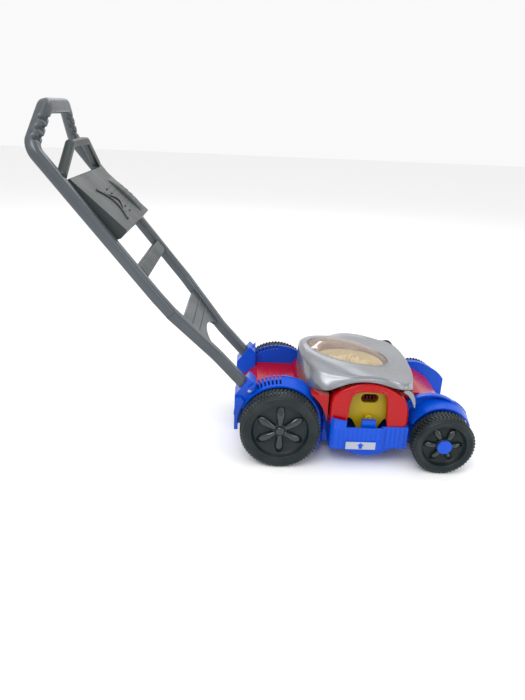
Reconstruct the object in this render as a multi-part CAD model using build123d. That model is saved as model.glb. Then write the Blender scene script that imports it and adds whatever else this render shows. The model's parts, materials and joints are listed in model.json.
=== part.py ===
"""Push-along toy mower that blows bubbles: every moulding, shaft, gear and fastener as its own solid."""
import math
import os
from build123d import *

# ---------------------------------------------------------------- driving dimensions, mm and degrees
# Working axes: +X to the front, +Y to the left side, +Z up; x = 0 is the rear axle, z = 0 the ground.
WHEELBASE = 235.0
REAR_RADIUS = 57.5
REAR_WIDTH = 38.0
REAR_OUTER_Y = 108.8
FRONT_RADIUS = 44.9
FRONT_WIDTH = 30.0
FRONT_OUTER_Y = 115.6
AXLE_RADIUS = 2.5
RUN = 0.06            # radial clearance of a shaft that turns in a hole
WALL = 2.5            # moulded wall

BODY_HALF = 57.0      # half width of the deck between the wheels
FENDER_Y = 58.0       # inner wall of every fender
REAR_FENDER_EDGE = 80.0         # outer edge of the rear fender band
REAR_FENDER_R = (67.5, 60.2)    # band radius at the inner wall and at the outer edge
FRONT_FENDER_EDGE = 84.6
FRONT_FENDER_R = (53.0, 47.4)
FENDER_WALL = 2.4
POD_X = (68.0, 185.0)  # side pods between the wheels
POD_Y = 97.0
PAN_Z = (18.0, 66.0)
DECK_Z = 95.0
PLATFORM_Z = 103.0
HOOD_X = (27.0, 206.0)
HOOD_TILT = 10.6
HOOD_TOP = (40.0, 153.6)  # a point (x, z) of the sloped hood top
HOOD_HALF = 79.0
HOOD_WAIST = 95.0      # x where the sides start to widen
HOOD_WING = 96.0       # half width over the front of the side pods
HOOD_WING_X = 168.0
HOOD_REAR_CORNER = 44.0
HOOD_FRONT_CORNER = 16.0
HOOD_CROWN = 11.0      # rounding of the top edge
WING_START = 50.0      # y where the lower edge starts to rise
WING_RISE = 0.4

MODULE = 1.25
PRESSURE = 20.0
DRIVE_TEETH = 48
IDLER_PINION_TEETH = 20
IDLER_TEETH = 50
CROSS_TEETH = 48
CROSS_PINION_TEETH = 18
WHEEL_GEAR_TEETH = 28
CROWN_TEETH = 40
FAN_PINION_TEETH = 12
BACKLASH = 0.12       # taken off each flank

FAN_X = 103.74
CROSS_Z = 58.3
WAND_X = 127.0
WAND_RADIUS = 51.0
FAN_RADIUS = 50.0

RAIL_W = 18.5         # rail width across the machine
RAIL_D = 15.5         # rail depth
RAIL_Y = 93.0
KNEE = (-172.0, 248.0)
BEND = (-316.0, 428.0)
SEAM = (-152.0, 91.0, 224.0)
NECK = (-93.0, 62.0, 155.0)
SOCKET = (-62.0, 61.0, 121.0)


# ---------------------------------------------------------------- shape helpers
def block(x0, x1, y0, y1, z0, z1):
    """Box between two corners."""
    return Pos((x0 + x1) / 2, (y0 + y1) / 2, (z0 + z1) / 2) * Box(x1 - x0, y1 - y0, z1 - z0)


def rod_y(x, z, radius, y0, y1):
    """Cylinder along Y."""
    return Pos(x, (y0 + y1) / 2, z) * Rot(90, 0, 0) * Cylinder(radius, y1 - y0)


def rod_z(x, y, radius, z0, z1):
    """Cylinder along Z."""
    return Pos(x, y, (z0 + z1) / 2) * Cylinder(radius, z1 - z0)


def side_plane(y):
    """Plane facing -Y whose local x is +X and local y is +Z."""
    return Plane(origin=(0, y, 0), x_dir=(1, 0, 0), z_dir=(0, -1, 0))


def slab(sketch, y0, y1):
    """Side-view outline drawn in (x, z), extruded between two Y stations."""
    return extrude(side_plane(y1) * sketch, y1 - y0, dir=(0, -1, 0))


def plate(sketch, z0, z1):
    """Plan-view outline drawn in (x, y), extruded between two heights."""
    return extrude(Pos(0, 0, z0) * sketch, z1 - z0, dir=(0, 0, 1))


def rounded(points, radius):
    """Closed outline with every corner rounded."""
    face = Polygon(*points, align=None)
    return fillet(face.vertices(), radius)


def mirrored(shape):
    """The same piece on the other side of the machine."""
    return mirror(shape, Plane.XZ)


def group(shapes):
    """Separate solids kept in one node."""
    return Compound([solid for shape in shapes for solid in shape.solids()])


def one(shape):
    """Largest solid of a boolean result."""
    return max(shape.solids(), key=lambda solid: solid.volume)


def sector(x, z, radius, y0, y1, start, end):
    """Pie slice about a Y axis, between two angles measured from +X towards +Z."""
    reach = radius * 1.6
    steps = 8
    turns = [math.radians(start + (end - start) * i / steps) for i in range(steps + 1)]
    rim = [(x + reach * math.cos(turn), z + reach * math.sin(turn)) for turn in turns]
    return slab(Polygon((x, z), *rim, align=None), y0, y1)


def ring_sector(x, z, outer, inner, y0, y1, start, end):
    """Part of a ring about a Y axis, between two angles."""
    ring = rod_y(x, z, outer, y0, y1) - rod_y(x, z, inner, y0 - 1, y1 + 1)
    return ring & sector(x, z, outer, y0, y1, start, end)


def flared_band(x, z, inner_y, edge_y, radii, start, end):
    """Conical fender band on the right side, from its inner wall out to its lower outer edge."""
    section = Polygon((-inner_y, radii[0]), (-edge_y, radii[1]), (-edge_y, radii[1] - FENDER_WALL),
                      (-inner_y, radii[0] - FENDER_WALL), align=None)
    section_plane = Plane(origin=(x, 0, z), x_dir=(0, 1, 0), z_dir=(1, 0, 0))
    band = revolve(section_plane * section, Axis((x, 0, z), (0, 1, 0)))
    return band & sector(x, z, radii[0], -edge_y, -inner_y, start, end)


# ---------------------------------------------------------------- gears
def pitch_radius(teeth):
    return MODULE * teeth / 2


def involute(angle):
    return math.tan(angle) - angle


def gear_outline(teeth, phase):
    """Involute spur gear outline with one tooth centred at the phase angle, in degrees."""
    pitch = pitch_radius(teeth)
    pressure = math.radians(PRESSURE)
    base = pitch * math.cos(pressure)
    tip = pitch + 0.9 * MODULE
    root = pitch - 1.2 * MODULE
    half_tooth = math.pi / (2 * teeth) - BACKLASH / pitch
    flank = []
    for step in range(4):
        radius = max(base, root) + (tip - max(base, root)) * step / 3
        roll = math.acos(base / radius)
        flank.append((radius, half_tooth + involute(pressure) - involute(roll)))
    if root < base:
        flank.insert(0, (root, flank[0][1]))
    points = []
    for tooth in range(teeth):
        centre = math.radians(phase) + 2 * math.pi * tooth / teeth
        both = [(r, centre - a) for r, a in flank] + [(r, centre + a) for r, a in reversed(flank)]
        points += [(r * math.cos(a), r * math.sin(a)) for r, a in both]
    return Polygon(*points, align=None)


def spur(teeth, phase, x, z, y0, y1):
    """Spur gear about a Y axis."""
    return slab(Pos(x, z) * gear_outline(teeth, phase), y0, y1)


drive_span = pitch_radius(DRIVE_TEETH) + pitch_radius(IDLER_PINION_TEETH)
cross_span = pitch_radius(IDLER_TEETH) + pitch_radius(CROSS_TEETH)
whole_span = math.hypot(FAN_X, CROSS_Z - REAR_RADIUS)
lift = math.acos((drive_span**2 + whole_span**2 - cross_span**2) / (2 * drive_span * whole_span))
line = math.atan2(CROSS_Z - REAR_RADIUS, FAN_X)
IDLER_X = drive_span * math.cos(line + lift)
IDLER_Z = REAR_RADIUS + drive_span * math.sin(line + lift)
wand_span = pitch_radius(CROSS_PINION_TEETH) + pitch_radius(WHEEL_GEAR_TEETH)
WAND_Z = CROSS_Z + math.sqrt(wand_span**2 - (WAND_X - FAN_X)**2)


def bearing_angle(x0, z0, x1, z1):
    return math.degrees(math.atan2(z1 - z0, x1 - x0))


# ---------------------------------------------------------------- wheels and axles
INNER_HUB = 9.0       # outer radius of the wheel's inner hub
DISH_DEPTH = 11.0
PETALS = 6
FIRST_PETAL = 30.0    # degrees from the level


def road_wheel(radius, width, hub, hub_face, step):
    """Dished one-piece wheel with petal spokes about local Z, outer face at z = width.
    The tread starts a step away from the inner face, which leaves room for the fender."""
    rim = radius * 0.70
    floor = width - DISH_DEPTH
    profile = [
        (AXLE_RADIUS, 0), (INNER_HUB, 0), (INNER_HUB, floor - 4), (radius - 8, floor - 4), (radius - 8, 0),
        (radius - 4.5, 0), (radius - 4.5, step), (radius - 1.5, step), (radius, step + 1.5),
        (radius, width - 7), (radius - 2, width - 2), (radius - 6, width), (rim + 2, width - 0.5),
        (rim, width - 2), (rim - 2, floor), (hub + 1, floor), (hub, hub_face), (AXLE_RADIUS, hub_face),
    ]
    body = revolve(Plane.XZ * Polygon(*profile, align=None), Axis.Z)
    length = rim - hub + 2
    petal = extrude(Ellipse(length / 2, 4.6), 7.0, taper=12)
    for i in range(PETALS):
        turn = Rot(0, 0, FIRST_PETAL + 360 / PETALS * i)
        body += turn * Pos((rim + hub) / 2, 0, floor - 0.5) * petal
    return body


def wheel_right(wheel, x, z, outer_y, width):
    """Stand a wheel up with its outer face on the right side."""
    return Pos(x, width - outer_y, z) * Rot(90, 0, 0) * wheel


rear_wheel_shape = road_wheel(REAR_RADIUS, REAR_WIDTH, 10, REAR_WIDTH - 5, 10.5)
rear_wheel_right = wheel_right(rear_wheel_shape, 0, REAR_RADIUS, REAR_OUTER_Y, REAR_WIDTH)
rear_wheel_left = mirrored(rear_wheel_right)
REAR_AXLE_END = REAR_OUTER_Y - 4
rear_axle = rod_y(0, REAR_RADIUS, AXLE_RADIUS, -REAR_AXLE_END, REAR_AXLE_END)

HUB_SINK = 2.6         # depth of the front hub's face below the tyre's
FRONT_HUB_Y = FRONT_OUTER_Y - HUB_SINK
FRONT_AXLE_END = FRONT_HUB_Y - 0.8
NUT = 1.8
front_wheel_shape = road_wheel(FRONT_RADIUS, FRONT_WIDTH, 10.8, FRONT_WIDTH - HUB_SINK, 2.0)
front_wheel_right = wheel_right(front_wheel_shape, WHEELBASE, FRONT_RADIUS, FRONT_OUTER_Y, FRONT_WIDTH)
front_wheel_right -= rod_y(WHEELBASE, FRONT_RADIUS, AXLE_RADIUS + RUN, -FRONT_OUTER_Y, 0)
front_wheel_right -= rod_y(WHEELBASE, FRONT_RADIUS, 6.5, -FRONT_OUTER_Y, -FRONT_AXLE_END + NUT + 0.6)
front_wheel_left = mirrored(front_wheel_right)
front_axle = rod_y(WHEELBASE, FRONT_RADIUS, AXLE_RADIUS, -FRONT_AXLE_END, FRONT_AXLE_END)
nut = rod_y(WHEELBASE, FRONT_RADIUS, 5.4, -FRONT_AXLE_END + 0.2, -FRONT_AXLE_END + NUT)
nut -= rod_y(WHEELBASE, FRONT_RADIUS, AXLE_RADIUS, -FRONT_OUTER_Y, 0)
front_push_nuts = group([nut, mirrored(nut)])
cap_disc = rod_y(WHEELBASE, FRONT_RADIUS, 10.5, -FRONT_OUTER_Y + 0.6, -FRONT_HUB_Y)
cap_disc = fillet(cap_disc.edges().group_by(Axis.Y)[0], 0.9)
cap_plug = rod_y(WHEELBASE, FRONT_RADIUS, 6.5, -FRONT_HUB_Y, -FRONT_HUB_Y + 0.5)
front_hub_cap_right = cap_disc + cap_plug
front_hub_cap_left = mirrored(front_hub_cap_right)


# ---------------------------------------------------------------- gear train
DRIVE_Y = (19.0, 27.0)
IDLER_Y = (11.0, 17.0)
CROWN_BACK_Y = 9.0   # face that the crown teeth stand on
CROWN_RADIUS = pitch_radius(CROWN_TEETH)
PINION_Y = (-24.0, -15.0)
WAND_GEAR_Y = (-23.0, -16.0)
PIN_RADIUS = 2.0
STUB_RADIUS = 3.0
SHAFT_RADIUS = 2.0
FAN_SHAFT_RADIUS = 1.5

drive_angle = bearing_angle(0, REAR_RADIUS, IDLER_X, IDLER_Z)
drive_gear = spur(DRIVE_TEETH, drive_angle, 0, REAR_RADIUS, DRIVE_Y[0] + 1, DRIVE_Y[1] - 1)
drive_gear += rod_y(0, REAR_RADIUS, 7, DRIVE_Y[0], DRIVE_Y[1] + 1)
drive_gear -= rod_y(0, REAR_RADIUS, AXLE_RADIUS, 0, 60)

pinion_phase = drive_angle + 180 + 180 / IDLER_PINION_TEETH
cross_angle = bearing_angle(IDLER_X, IDLER_Z, FAN_X, CROSS_Z)
compound_gear = spur(IDLER_PINION_TEETH, pinion_phase, IDLER_X, IDLER_Z, IDLER_Y[1], DRIVE_Y[1])
compound_gear += spur(IDLER_TEETH, cross_angle, IDLER_X, IDLER_Z, IDLER_Y[0] + 0.5, IDLER_Y[1])
compound_gear -= rod_y(IDLER_X, IDLER_Z, PIN_RADIUS + RUN, 0, 60)

cross_phase = cross_angle + 180 + 180 / CROSS_TEETH
wand_angle = bearing_angle(FAN_X, CROSS_Z, WAND_X, WAND_Z)
crown_gear = spur(CROSS_TEETH, cross_phase, FAN_X, CROSS_Z, IDLER_Y[0], IDLER_Y[1] - 0.5)
crown_gear += rod_y(FAN_X, CROSS_Z, CROWN_RADIUS + 4, CROWN_BACK_Y, IDLER_Y[0])
crown_gear += rod_y(FAN_X, CROSS_Z, 5, PINION_Y[1], CROWN_BACK_Y)
crown_gear += spur(CROSS_PINION_TEETH, wand_angle, FAN_X, CROSS_Z, PINION_Y[0], PINION_Y[1])
crown_gear += rod_y(FAN_X, CROSS_Z, STUB_RADIUS, -31.5, 33.5)
# Face teeth: rack-shaped ridges that run towards the middle and narrow with the radius.
CROWN_FACE = (CROWN_RADIUS - 2.0, CROWN_RADIUS + 2.0)
crown_tip_y = pitch_radius(FAN_PINION_TEETH) - 0.8 * MODULE
tooth_half = math.pi * MODULE / 4 - 3 * BACKLASH
slope = math.tan(math.radians(PRESSURE))
tip_half = tooth_half - 0.8 * MODULE * slope
foot_half = tooth_half + (CROWN_BACK_Y - pitch_radius(FAN_PINION_TEETH)) * slope / 2
crown_tooth = Polygon((-foot_half, CROWN_BACK_Y), (-tip_half, crown_tip_y), (tip_half, crown_tip_y),
                      (foot_half, CROWN_BACK_Y), align=None)
crown_tooth = extrude(Pos(0, 0, CROWN_FACE[0]) * crown_tooth, CROWN_FACE[1] - CROWN_FACE[0], taper=-1.2)
for i in range(CROWN_TEETH):
    crown_gear += Pos(FAN_X, 0, CROSS_Z) * Rot(0, 360 / CROWN_TEETH * (i + 0.5), 0) * crown_tooth

wand_phase = wand_angle + 180 + 180 / WHEEL_GEAR_TEETH
wand_gear = spur(WHEEL_GEAR_TEETH, wand_phase, WAND_X, WAND_Z, WAND_GEAR_Y[0], WAND_GEAR_Y[1])
wand_gear += rod_y(WAND_X, WAND_Z, 6, WAND_GEAR_Y[0], WAND_GEAR_Y[1] + 5)
wand_gear -= rod_y(WAND_X, WAND_Z, SHAFT_RADIUS, -60, 60)

FAN_PINION_Z = (CROSS_Z + CROWN_FACE[0] + 0.3, CROSS_Z + CROWN_FACE[1] - 0.3)
fan_pinion = Pos(FAN_X, 0, FAN_PINION_Z[0]) * extrude(
    gear_outline(FAN_PINION_TEETH, 90), FAN_PINION_Z[1] - FAN_PINION_Z[0])
fan_pinion += rod_z(FAN_X, 0, 5, FAN_PINION_Z[1], FAN_PINION_Z[1] + 3)
fan_pinion -= rod_z(FAN_X, 0, FAN_SHAFT_RADIUS, 60, 120)
idler_pin = rod_y(IDLER_X, IDLER_Z, PIN_RADIUS, -31.5, 33.5)
wand_shaft = rod_y(WAND_X, WAND_Z, SHAFT_RADIUS, -93, -0.5)


# ---------------------------------------------------------------- gearbox, in two halves that meet at y = 0
CASE_Y = (-28.0, 31.0)
CASE_WALL = 2.0
SCREW_RADIUS = 1.5
HEAD_RADIUS = 2.9
HEAD_HEIGHT = 2.0


def hull_of_circles(circles):
    """Outline that wraps round a list of (x, z, radius)."""
    rings = Sketch() + [Pos(x, z) * Circle(radius) for x, z, radius in circles]
    return make_hull(rings.edges())


gear_circles = [
    (0, REAR_RADIUS, pitch_radius(DRIVE_TEETH) + 3.2),
    (IDLER_X, IDLER_Z, pitch_radius(IDLER_TEETH) + 3.5),
    (FAN_X, CROSS_Z, pitch_radius(CROSS_TEETH) + 3.5),
    (WAND_X, WAND_Z, pitch_radius(WHEEL_GEAR_TEETH) + 3.8),
]
case_outline = hull_of_circles(gear_circles)
case_inner = hull_of_circles([(x, z, radius - CASE_WALL) for x, z, radius in gear_circles])
gear_case = slab(case_outline, CASE_Y[0], CASE_Y[1])
gear_case -= slab(case_inner, CASE_Y[0] + CASE_WALL, CASE_Y[1] - CASE_WALL)
case_screw_spots = [(73, 31), (73, 86), (139, 52), (-25, 84), (-25, 31)]
for x, z in case_screw_spots:
    gear_case += rod_y(x, z, 3.2, CASE_Y[0] - 1.5, CASE_Y[1])
    gear_case -= rod_y(x, z, SCREW_RADIUS, CASE_Y[0] - 3, 20)
for x, z, radius in [(0, REAR_RADIUS, AXLE_RADIUS + 0.5), (IDLER_X, IDLER_Z, PIN_RADIUS),
                     (FAN_X, CROSS_Z, STUB_RADIUS + RUN)]:
    gear_case += rod_y(x, z, radius + 2.5, CASE_Y[0] - 1.5, CASE_Y[0] + CASE_WALL + 0.5)
    gear_case += rod_y(x, z, radius + 2.5, CASE_Y[1] - CASE_WALL - 0.5, CASE_Y[1] + 1.5)
    gear_case -= rod_y(x, z, radius, CASE_Y[0] - 5, CASE_Y[1] + 5)
gear_case += rod_y(WAND_X, WAND_Z, SHAFT_RADIUS + 2.5, CASE_Y[0] - 1.5, CASE_Y[0] + CASE_WALL + 0.5)
gear_case += slab(Pos((WAND_X + 148) / 2, WAND_Z) * Rectangle(148 - WAND_X + 8, 10), -4, 0)
gear_case -= rod_y(WAND_X, WAND_Z, SHAFT_RADIUS + RUN, CASE_Y[0] - 5, 1)
gear_case -= rod_z(FAN_X, 0, 6.5, 88, 100)
top_boss = rod_z(FAN_X, 0, 8.5, 91, 101.5) - rod_z(FAN_X, 0, 5.8, 85, 98)
top_boss -= rod_z(FAN_X, 0, FAN_SHAFT_RADIUS + RUN, 85, 105)
gear_case += top_boss
gearbox_case_right = one(gear_case & block(-60, 200, -200, 0, 0, 200))
gearbox_case_left = one(gear_case & block(-60, 200, 0, 200, 0, 200))


def screw_y(x, z, head_y, length):
    """Pan-head screw along +Y with the underside of its head at head_y."""
    head = rod_y(x, z, HEAD_RADIUS, head_y - HEAD_HEIGHT, head_y)
    return head + rod_y(x, z, SCREW_RADIUS, head_y, head_y + length)


def screw_z(x, y, head_z, length):
    """Pan-head screw pointing up with the top side of its head at head_z."""
    head = rod_z(x, y, HEAD_RADIUS, head_z - HEAD_HEIGHT, head_z)
    return head + rod_z(x, y, SCREW_RADIUS, head_z, head_z + length)


gearbox_screws = group([screw_y(x, z, CASE_Y[0] - 1.5, 40) for x, z in case_screw_spots])

# ---------------------------------------------------------------- blower under the window
FAN_FLOOR = 102.0
FAN_BOWL = (FAN_RADIUS + 4, FAN_RADIUS + 6)   # inner and outer radius of the bowl round the blower
FAN_FLANGE = FAN_RADIUS + 10
fan_housing = rod_z(FAN_X, 0, FAN_BOWL[1], FAN_FLOOR, 124)
fan_housing -= rod_z(FAN_X, 0, FAN_BOWL[0], FAN_FLOOR + 2, 130)
fan_housing += rod_z(FAN_X, 0, FAN_BOWL[1], DECK_Z, FAN_FLOOR) - rod_z(FAN_X, 0, FAN_BOWL[0], 90, FAN_FLOOR)
fan_flange = rod_z(FAN_X, 0, FAN_FLANGE, PLATFORM_Z, PLATFORM_Z + 2)
fan_flange -= rod_z(FAN_X, 0, FAN_BOWL[0] + 1, 90, 130)
fan_housing += fan_flange
fan_housing -= rod_z(FAN_X, 0, 9.0, 90, FAN_FLOOR + 3)
DUCT_X = (WAND_X - 13, WAND_X + 13)
DUCT_Z = (104.0, 121.0)
fan_housing -= block(DUCT_X[0] + 2, DUCT_X[1] - 2, -70, -30, DUCT_Z[0] + 1, DUCT_Z[1] - 2)

fan_shaft = rod_z(FAN_X, 0, FAN_SHAFT_RADIUS, FAN_PINION_Z[0] - 3, 123)
blower_fan = rod_z(FAN_X, 0, FAN_RADIUS, 105.5, 107.5) + rod_z(FAN_X, 0, 7, 104.0, 121)
BLADES = 14
blade = block(9, FAN_RADIUS - 0.5, -0.9, 0.9, 107, 121)
for i in range(BLADES):
    blower_fan += Pos(FAN_X, 0, 0) * Rot(0, 0, 360 / BLADES * i) * blade
blower_fan -= rod_z(FAN_X, 0, FAN_SHAFT_RADIUS, 60, 130)

# ---------------------------------------------------------------- bubble wheel and its chamber
WAND_Y = (-84.0, -80.0)
SLOT_COUNT = 3
HUB_RADIUS = 5.5
SLOT_RING = 29.0
bubble_wheel = rod_y(WAND_X, WAND_Z, WAND_RADIUS, WAND_Y[0], WAND_Y[1])
bubble_wheel += rod_y(WAND_X, WAND_Z, HUB_RADIUS, WAND_Y[0] - 6, WAND_Y[1] + 4)
slot_cut = slab(Pos(0, SLOT_RING) * SlotOverall(25, 13.5), WAND_Y[0] - 1, WAND_Y[1] + 1)
for i in range(SLOT_COUNT):
    bubble_wheel -= Pos(WAND_X, 0, WAND_Z) * Rot(0, 360 / SLOT_COUNT * i, 0) * slot_cut
bubble_wheel -= rod_y(WAND_X, WAND_Z, SHAFT_RADIUS, -100, -60)

BACK_Y = (-64.0, -61.0)
TRAY_TOP = 66.5
pod_arch = make_face(Polyline(
    (POD_X[1] - 1, 70), (POD_X[1] - 5, 104), (POD_X[1] - 7, 108)) + ThreePointArc(
    (POD_X[1] - 7, 108), (118, 134), (POD_X[0] + 1, 113)) + Polyline(
    (POD_X[0] + 1, 113), (POD_X[0] + 2, 70), (POD_X[1] - 1, 70)))
pod_arch = fillet(pod_arch.vertices().group_by(Axis.Y)[-1], 9)
pod_foot = Pos((POD_X[0] + POD_X[1]) / 2 + 0.5, 70) * Rectangle(POD_X[1] - POD_X[0] - 9, 30)
pod_inner = offset(pod_arch, -3) + pod_foot
mouth = rounded([(94, 40), (99, 119.5), (147, 119.5), (152, 40)], 13)

back_wall = slab(pod_inner, BACK_Y[0], BACK_Y[1]) & block(60, 200, -70, -60, 73.5, 140)
air_duct = block(DUCT_X[0], DUCT_X[1], BACK_Y[1], -50.5, DUCT_Z[0] - 0.5, DUCT_Z[1])
nozzle = slab(Pos(WAND_X, WAND_Z + SLOT_RING) * SlotOverall(28, 17), -76, BACK_Y[0])
bubble_chamber = back_wall + air_duct + nozzle
bubble_chamber -= slab(Pos(WAND_X, WAND_Z + SLOT_RING) * SlotOverall(24, 13), -78, -56)
bubble_chamber -= block(DUCT_X[0] + 2, DUCT_X[1] - 2, -61.5, -40, DUCT_Z[0] + 1, DUCT_Z[1] - 2)
bubble_chamber -= rod_z(FAN_X, 0, FAN_BOWL[1], 90, 140)
bubble_chamber -= rod_z(FAN_X, 0, FAN_FLANGE, 90, PLATFORM_Z + 2)
bubble_chamber -= rod_y(WAND_X, WAND_Z, 8, -80, -50)

arch_housing = slab(pod_arch, -POD_Y, BACK_Y[0]) - slab(pod_inner, -POD_Y + 3, BACK_Y[0] + 1)
arch_lip = slab(offset(mouth, 2.5) & pod_arch, -POD_Y - 1, -POD_Y + 2)
arch_housing += arch_lip
arch_housing -= slab(mouth, -POD_Y - 5, -POD_Y + 5)
arch_housing -= block(60, 96, -110, -60, 60, 82)
arch_housing -= block(60, 200, -110, -60, 60, TRAY_TOP + 0.2)
arch_housing = one(arch_housing)

# ---------------------------------------------------------------- solution tray under the bubble wheel
TRAY_Z = (32.0, TRAY_TOP)
SPOUT_X = (72.0, 94.0)   # raised pouring corner at the rear of the tray
SPOUT_Z = (81.0, 77.0)
TRAY_FRONT_Y = -104.0
TRAY_STEP_X = 148.0
SUMP_RADIUS = WAND_RADIUS + 8
TRAY_REAR_X = 72.0
TRAY_STEP_Y = -99.0
TRAY_BACK_Y = -61.2
tray_front = [
    (TRAY_REAR_X, TRAY_BACK_Y), (TRAY_REAR_X, -100), (TRAY_REAR_X + 4, TRAY_FRONT_Y),
    (TRAY_STEP_X - 1, TRAY_FRONT_Y), (TRAY_STEP_X, TRAY_STEP_Y), (POD_X[1] - 1, TRAY_STEP_Y),
    (POD_X[1] - 1, TRAY_BACK_Y),
]
tray_plan = Polygon(*tray_front, align=None)
tray_hollow = offset(tray_plan, -WALL)
solution_tray = plate(tray_plan, TRAY_Z[0], TRAY_Z[1])
solution_tray += block(TRAY_REAR_X, POD_X[1] - 1, -64, TRAY_BACK_Y, TRAY_Z[0], 73.5)
sump = rod_y(WAND_X, WAND_Z, SUMP_RADIUS, -94, TRAY_BACK_Y) & block(60, 200, -110, -60, 0, TRAY_Z[0] + 2)
solution_tray += sump
solution_tray -= plate(tray_hollow, TRAY_Z[0] + WALL, 90) - block(60, 200, -64, -60, 0, 90)
sump_room = rod_y(WAND_X, WAND_Z, SUMP_RADIUS - 2.5, -91.5, -64)
solution_tray -= sump_room & block(60, 200, -110, -60, 0, TRAY_Z[0] + 3)
spout_face = Polygon((SPOUT_X[0], TRAY_TOP - 1), (SPOUT_X[0], SPOUT_Z[0]), (SPOUT_X[1], SPOUT_Z[1]),
                     (SPOUT_X[1], TRAY_TOP - 1), align=None)
spout_room = block(SPOUT_X[0] + 2.5, SPOUT_X[1] + 1, TRAY_FRONT_Y + 2.5, -90, TRAY_TOP - 2, 90)
spout = (slab(spout_face, TRAY_FRONT_Y, -98.3) & plate(tray_plan, TRAY_TOP - 1, 90)) - spout_room
solution_tray += spout
RIB_PITCH = 6.6
RIB_RADIUS = 0.9
for i in range(11):
    solution_tray += rod_z(78 + RIB_PITCH * i, TRAY_FRONT_Y, RIB_RADIUS, TRAY_Z[0] + 1, TRAY_Z[1] - 3)
for i in range(5):
    solution_tray += rod_z(153 + RIB_PITCH * i, TRAY_STEP_Y, RIB_RADIUS, TRAY_Z[0] + 1, TRAY_Z[1] - 3)
shaft_room = SHAFT_RADIUS + RUN
bearing = block(WAND_X - 10, WAND_X + 10, -98, -91.5, TRAY_Z[0] + 2, WAND_Z)
bearing -= block(WAND_X - shaft_room, WAND_X + shaft_room, -94.5, -90, WAND_Z, WAND_Z + 10)
bearing -= rod_y(WAND_X, WAND_Z, shaft_room, -94.5, -90)
solution_tray += bearing
solution_tray -= rod_y(WAND_X, WAND_Z, 8, -80, -50)
solution_tray = one(solution_tray)
LABEL_X = (95.0, 138.0)
LABEL_Z = (33.0, 44.8)
LABEL_RIM = 0.8         # border of the raised bed round the label
BED_Y = TRAY_FRONT_Y - 1.3
solution_tray += block(LABEL_X[0] - LABEL_RIM, LABEL_X[1] + LABEL_RIM, BED_Y, TRAY_FRONT_Y,
                       LABEL_Z[0] - LABEL_RIM, LABEL_Z[1] + LABEL_RIM)
tray_label = block(LABEL_X[0], LABEL_X[1], BED_Y - 0.3, BED_Y, LABEL_Z[0], LABEL_Z[1])
arrow_x = (LABEL_X[0] + LABEL_X[1]) / 2
arrow_neck = LABEL_Z[1] - 6.3
half_arrow = [(0, LABEL_Z[1] - 1), (5.5, arrow_neck), (2.5, arrow_neck), (2.5, LABEL_Z[0] + 1)]
arrow_right = [(arrow_x + x, z) for x, z in half_arrow]
arrow_left = [(arrow_x - x, z) for x, z in reversed(half_arrow[1:])]
arrow = Polygon(*arrow_right, *arrow_left, align=None)
tray_label -= slab(arrow, TRAY_FRONT_Y - 3, TRAY_FRONT_Y)


# ---------------------------------------------------------------- fenders; the rear ones hold the handle
RAIL_INSERT = 26.0
RAIL_ROUND = 5.0      # corner radius of the rail section
RAIL_GAP = 0.3


def along(start, end, extra):
    """Point past the end of a line by an extra length."""
    span = math.dist(start, end)
    return tuple(e + (e - s) * extra / span for s, e in zip(start, end))


rail_foot = along(NECK, SOCKET, RAIL_INSERT)
mouth_start = along(NECK, SOCKET, -6)


def right_side(point):
    return (point[0], -point[1], point[2])


def rail_plane(start, end):
    """Section plane at the start of a rail, its local x level with Y."""
    direction = Vector(*end) - Vector(*start)
    return Plane(origin=start, x_dir=(0, 1, 0), z_dir=direction)


bore_plane = rail_plane(right_side(mouth_start), right_side(rail_foot))
bore_length = math.dist(mouth_start, rail_foot) + RAIL_GAP
bore_section = RectangleRounded(RAIL_W + 2 * RAIL_GAP, RAIL_D + 2 * RAIL_GAP, RAIL_ROUND + RAIL_GAP)
rail_bore = extrude(bore_plane * bore_section, bore_length)
COLUMN_Y = (-75.0, -47.0)
COLUMN_REAR = -66.0
COLUMN_FOOT = 46.0
COLUMN_ROOM = 61.5   # radius kept free round the rear axle for the wheel
column_profile = rounded([(COLUMN_REAR, COLUMN_FOOT), (COLUMN_REAR, 99), (-45.5, 125), (-36, 116),
                          (-36, COLUMN_FOOT)], 1.5)
column_cheek = Polygon((COLUMN_REAR, COLUMN_FOOT), (COLUMN_REAR, 97), (-56, 97), (-50, 88),
                       (-50, COLUMN_FOOT), align=None)
rear_outer = REAR_FENDER_R[0]
rear_fender = flared_band(0, REAR_RADIUS, FENDER_Y, REAR_FENDER_EDGE, REAR_FENDER_R, -1, 158)
rear_fender += ring_sector(0, REAR_RADIUS, rear_outer, 8.5, -61, -FENDER_Y, -1, 178)
skirt_outer = [(REAR_FENDER_R[0], -FENDER_Y), (REAR_FENDER_R[1], -REAR_FENDER_EDGE)]
skirt_inner = [(x - FENDER_WALL, y) for x, y in reversed(skirt_outer)]
rear_fender += plate(Polygon(*skirt_outer, *skirt_inner, align=None), 22, REAR_RADIUS)
column = slab(column_profile, COLUMN_Y[0], COLUMN_Y[1]) + slab(column_cheek, -REAR_FENDER_EDGE, COLUMN_Y[0])
column -= rod_y(0, REAR_RADIUS, COLUMN_ROOM, -REAR_FENDER_EDGE, -61)
column -= rod_y(0, REAR_RADIUS, 30, -61, 0)
rear_fender += column
boss_tip = Polygon((-47, 112), (-38.5, 108), (-36, 122), align=None)
boss = rod_y(-43, 110, 5, -79, -66) + slab(boss_tip, -79, -66)
rear_fender += boss
rear_fender -= rail_bore
VENTS = 7
VENT_PITCH = 5.1     # degrees
VENT_START = 91.0
VENT_WIDTH = 2.6
band_vent = block(55, rear_outer + 3, -76, -61, -VENT_WIDTH / 2, VENT_WIDTH / 2)
wall_vent = block(61.5, rear_outer + 3, -61, -FENDER_Y + 1, -VENT_WIDTH / 2, VENT_WIDTH / 2)
vent = band_vent + wall_vent
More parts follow.
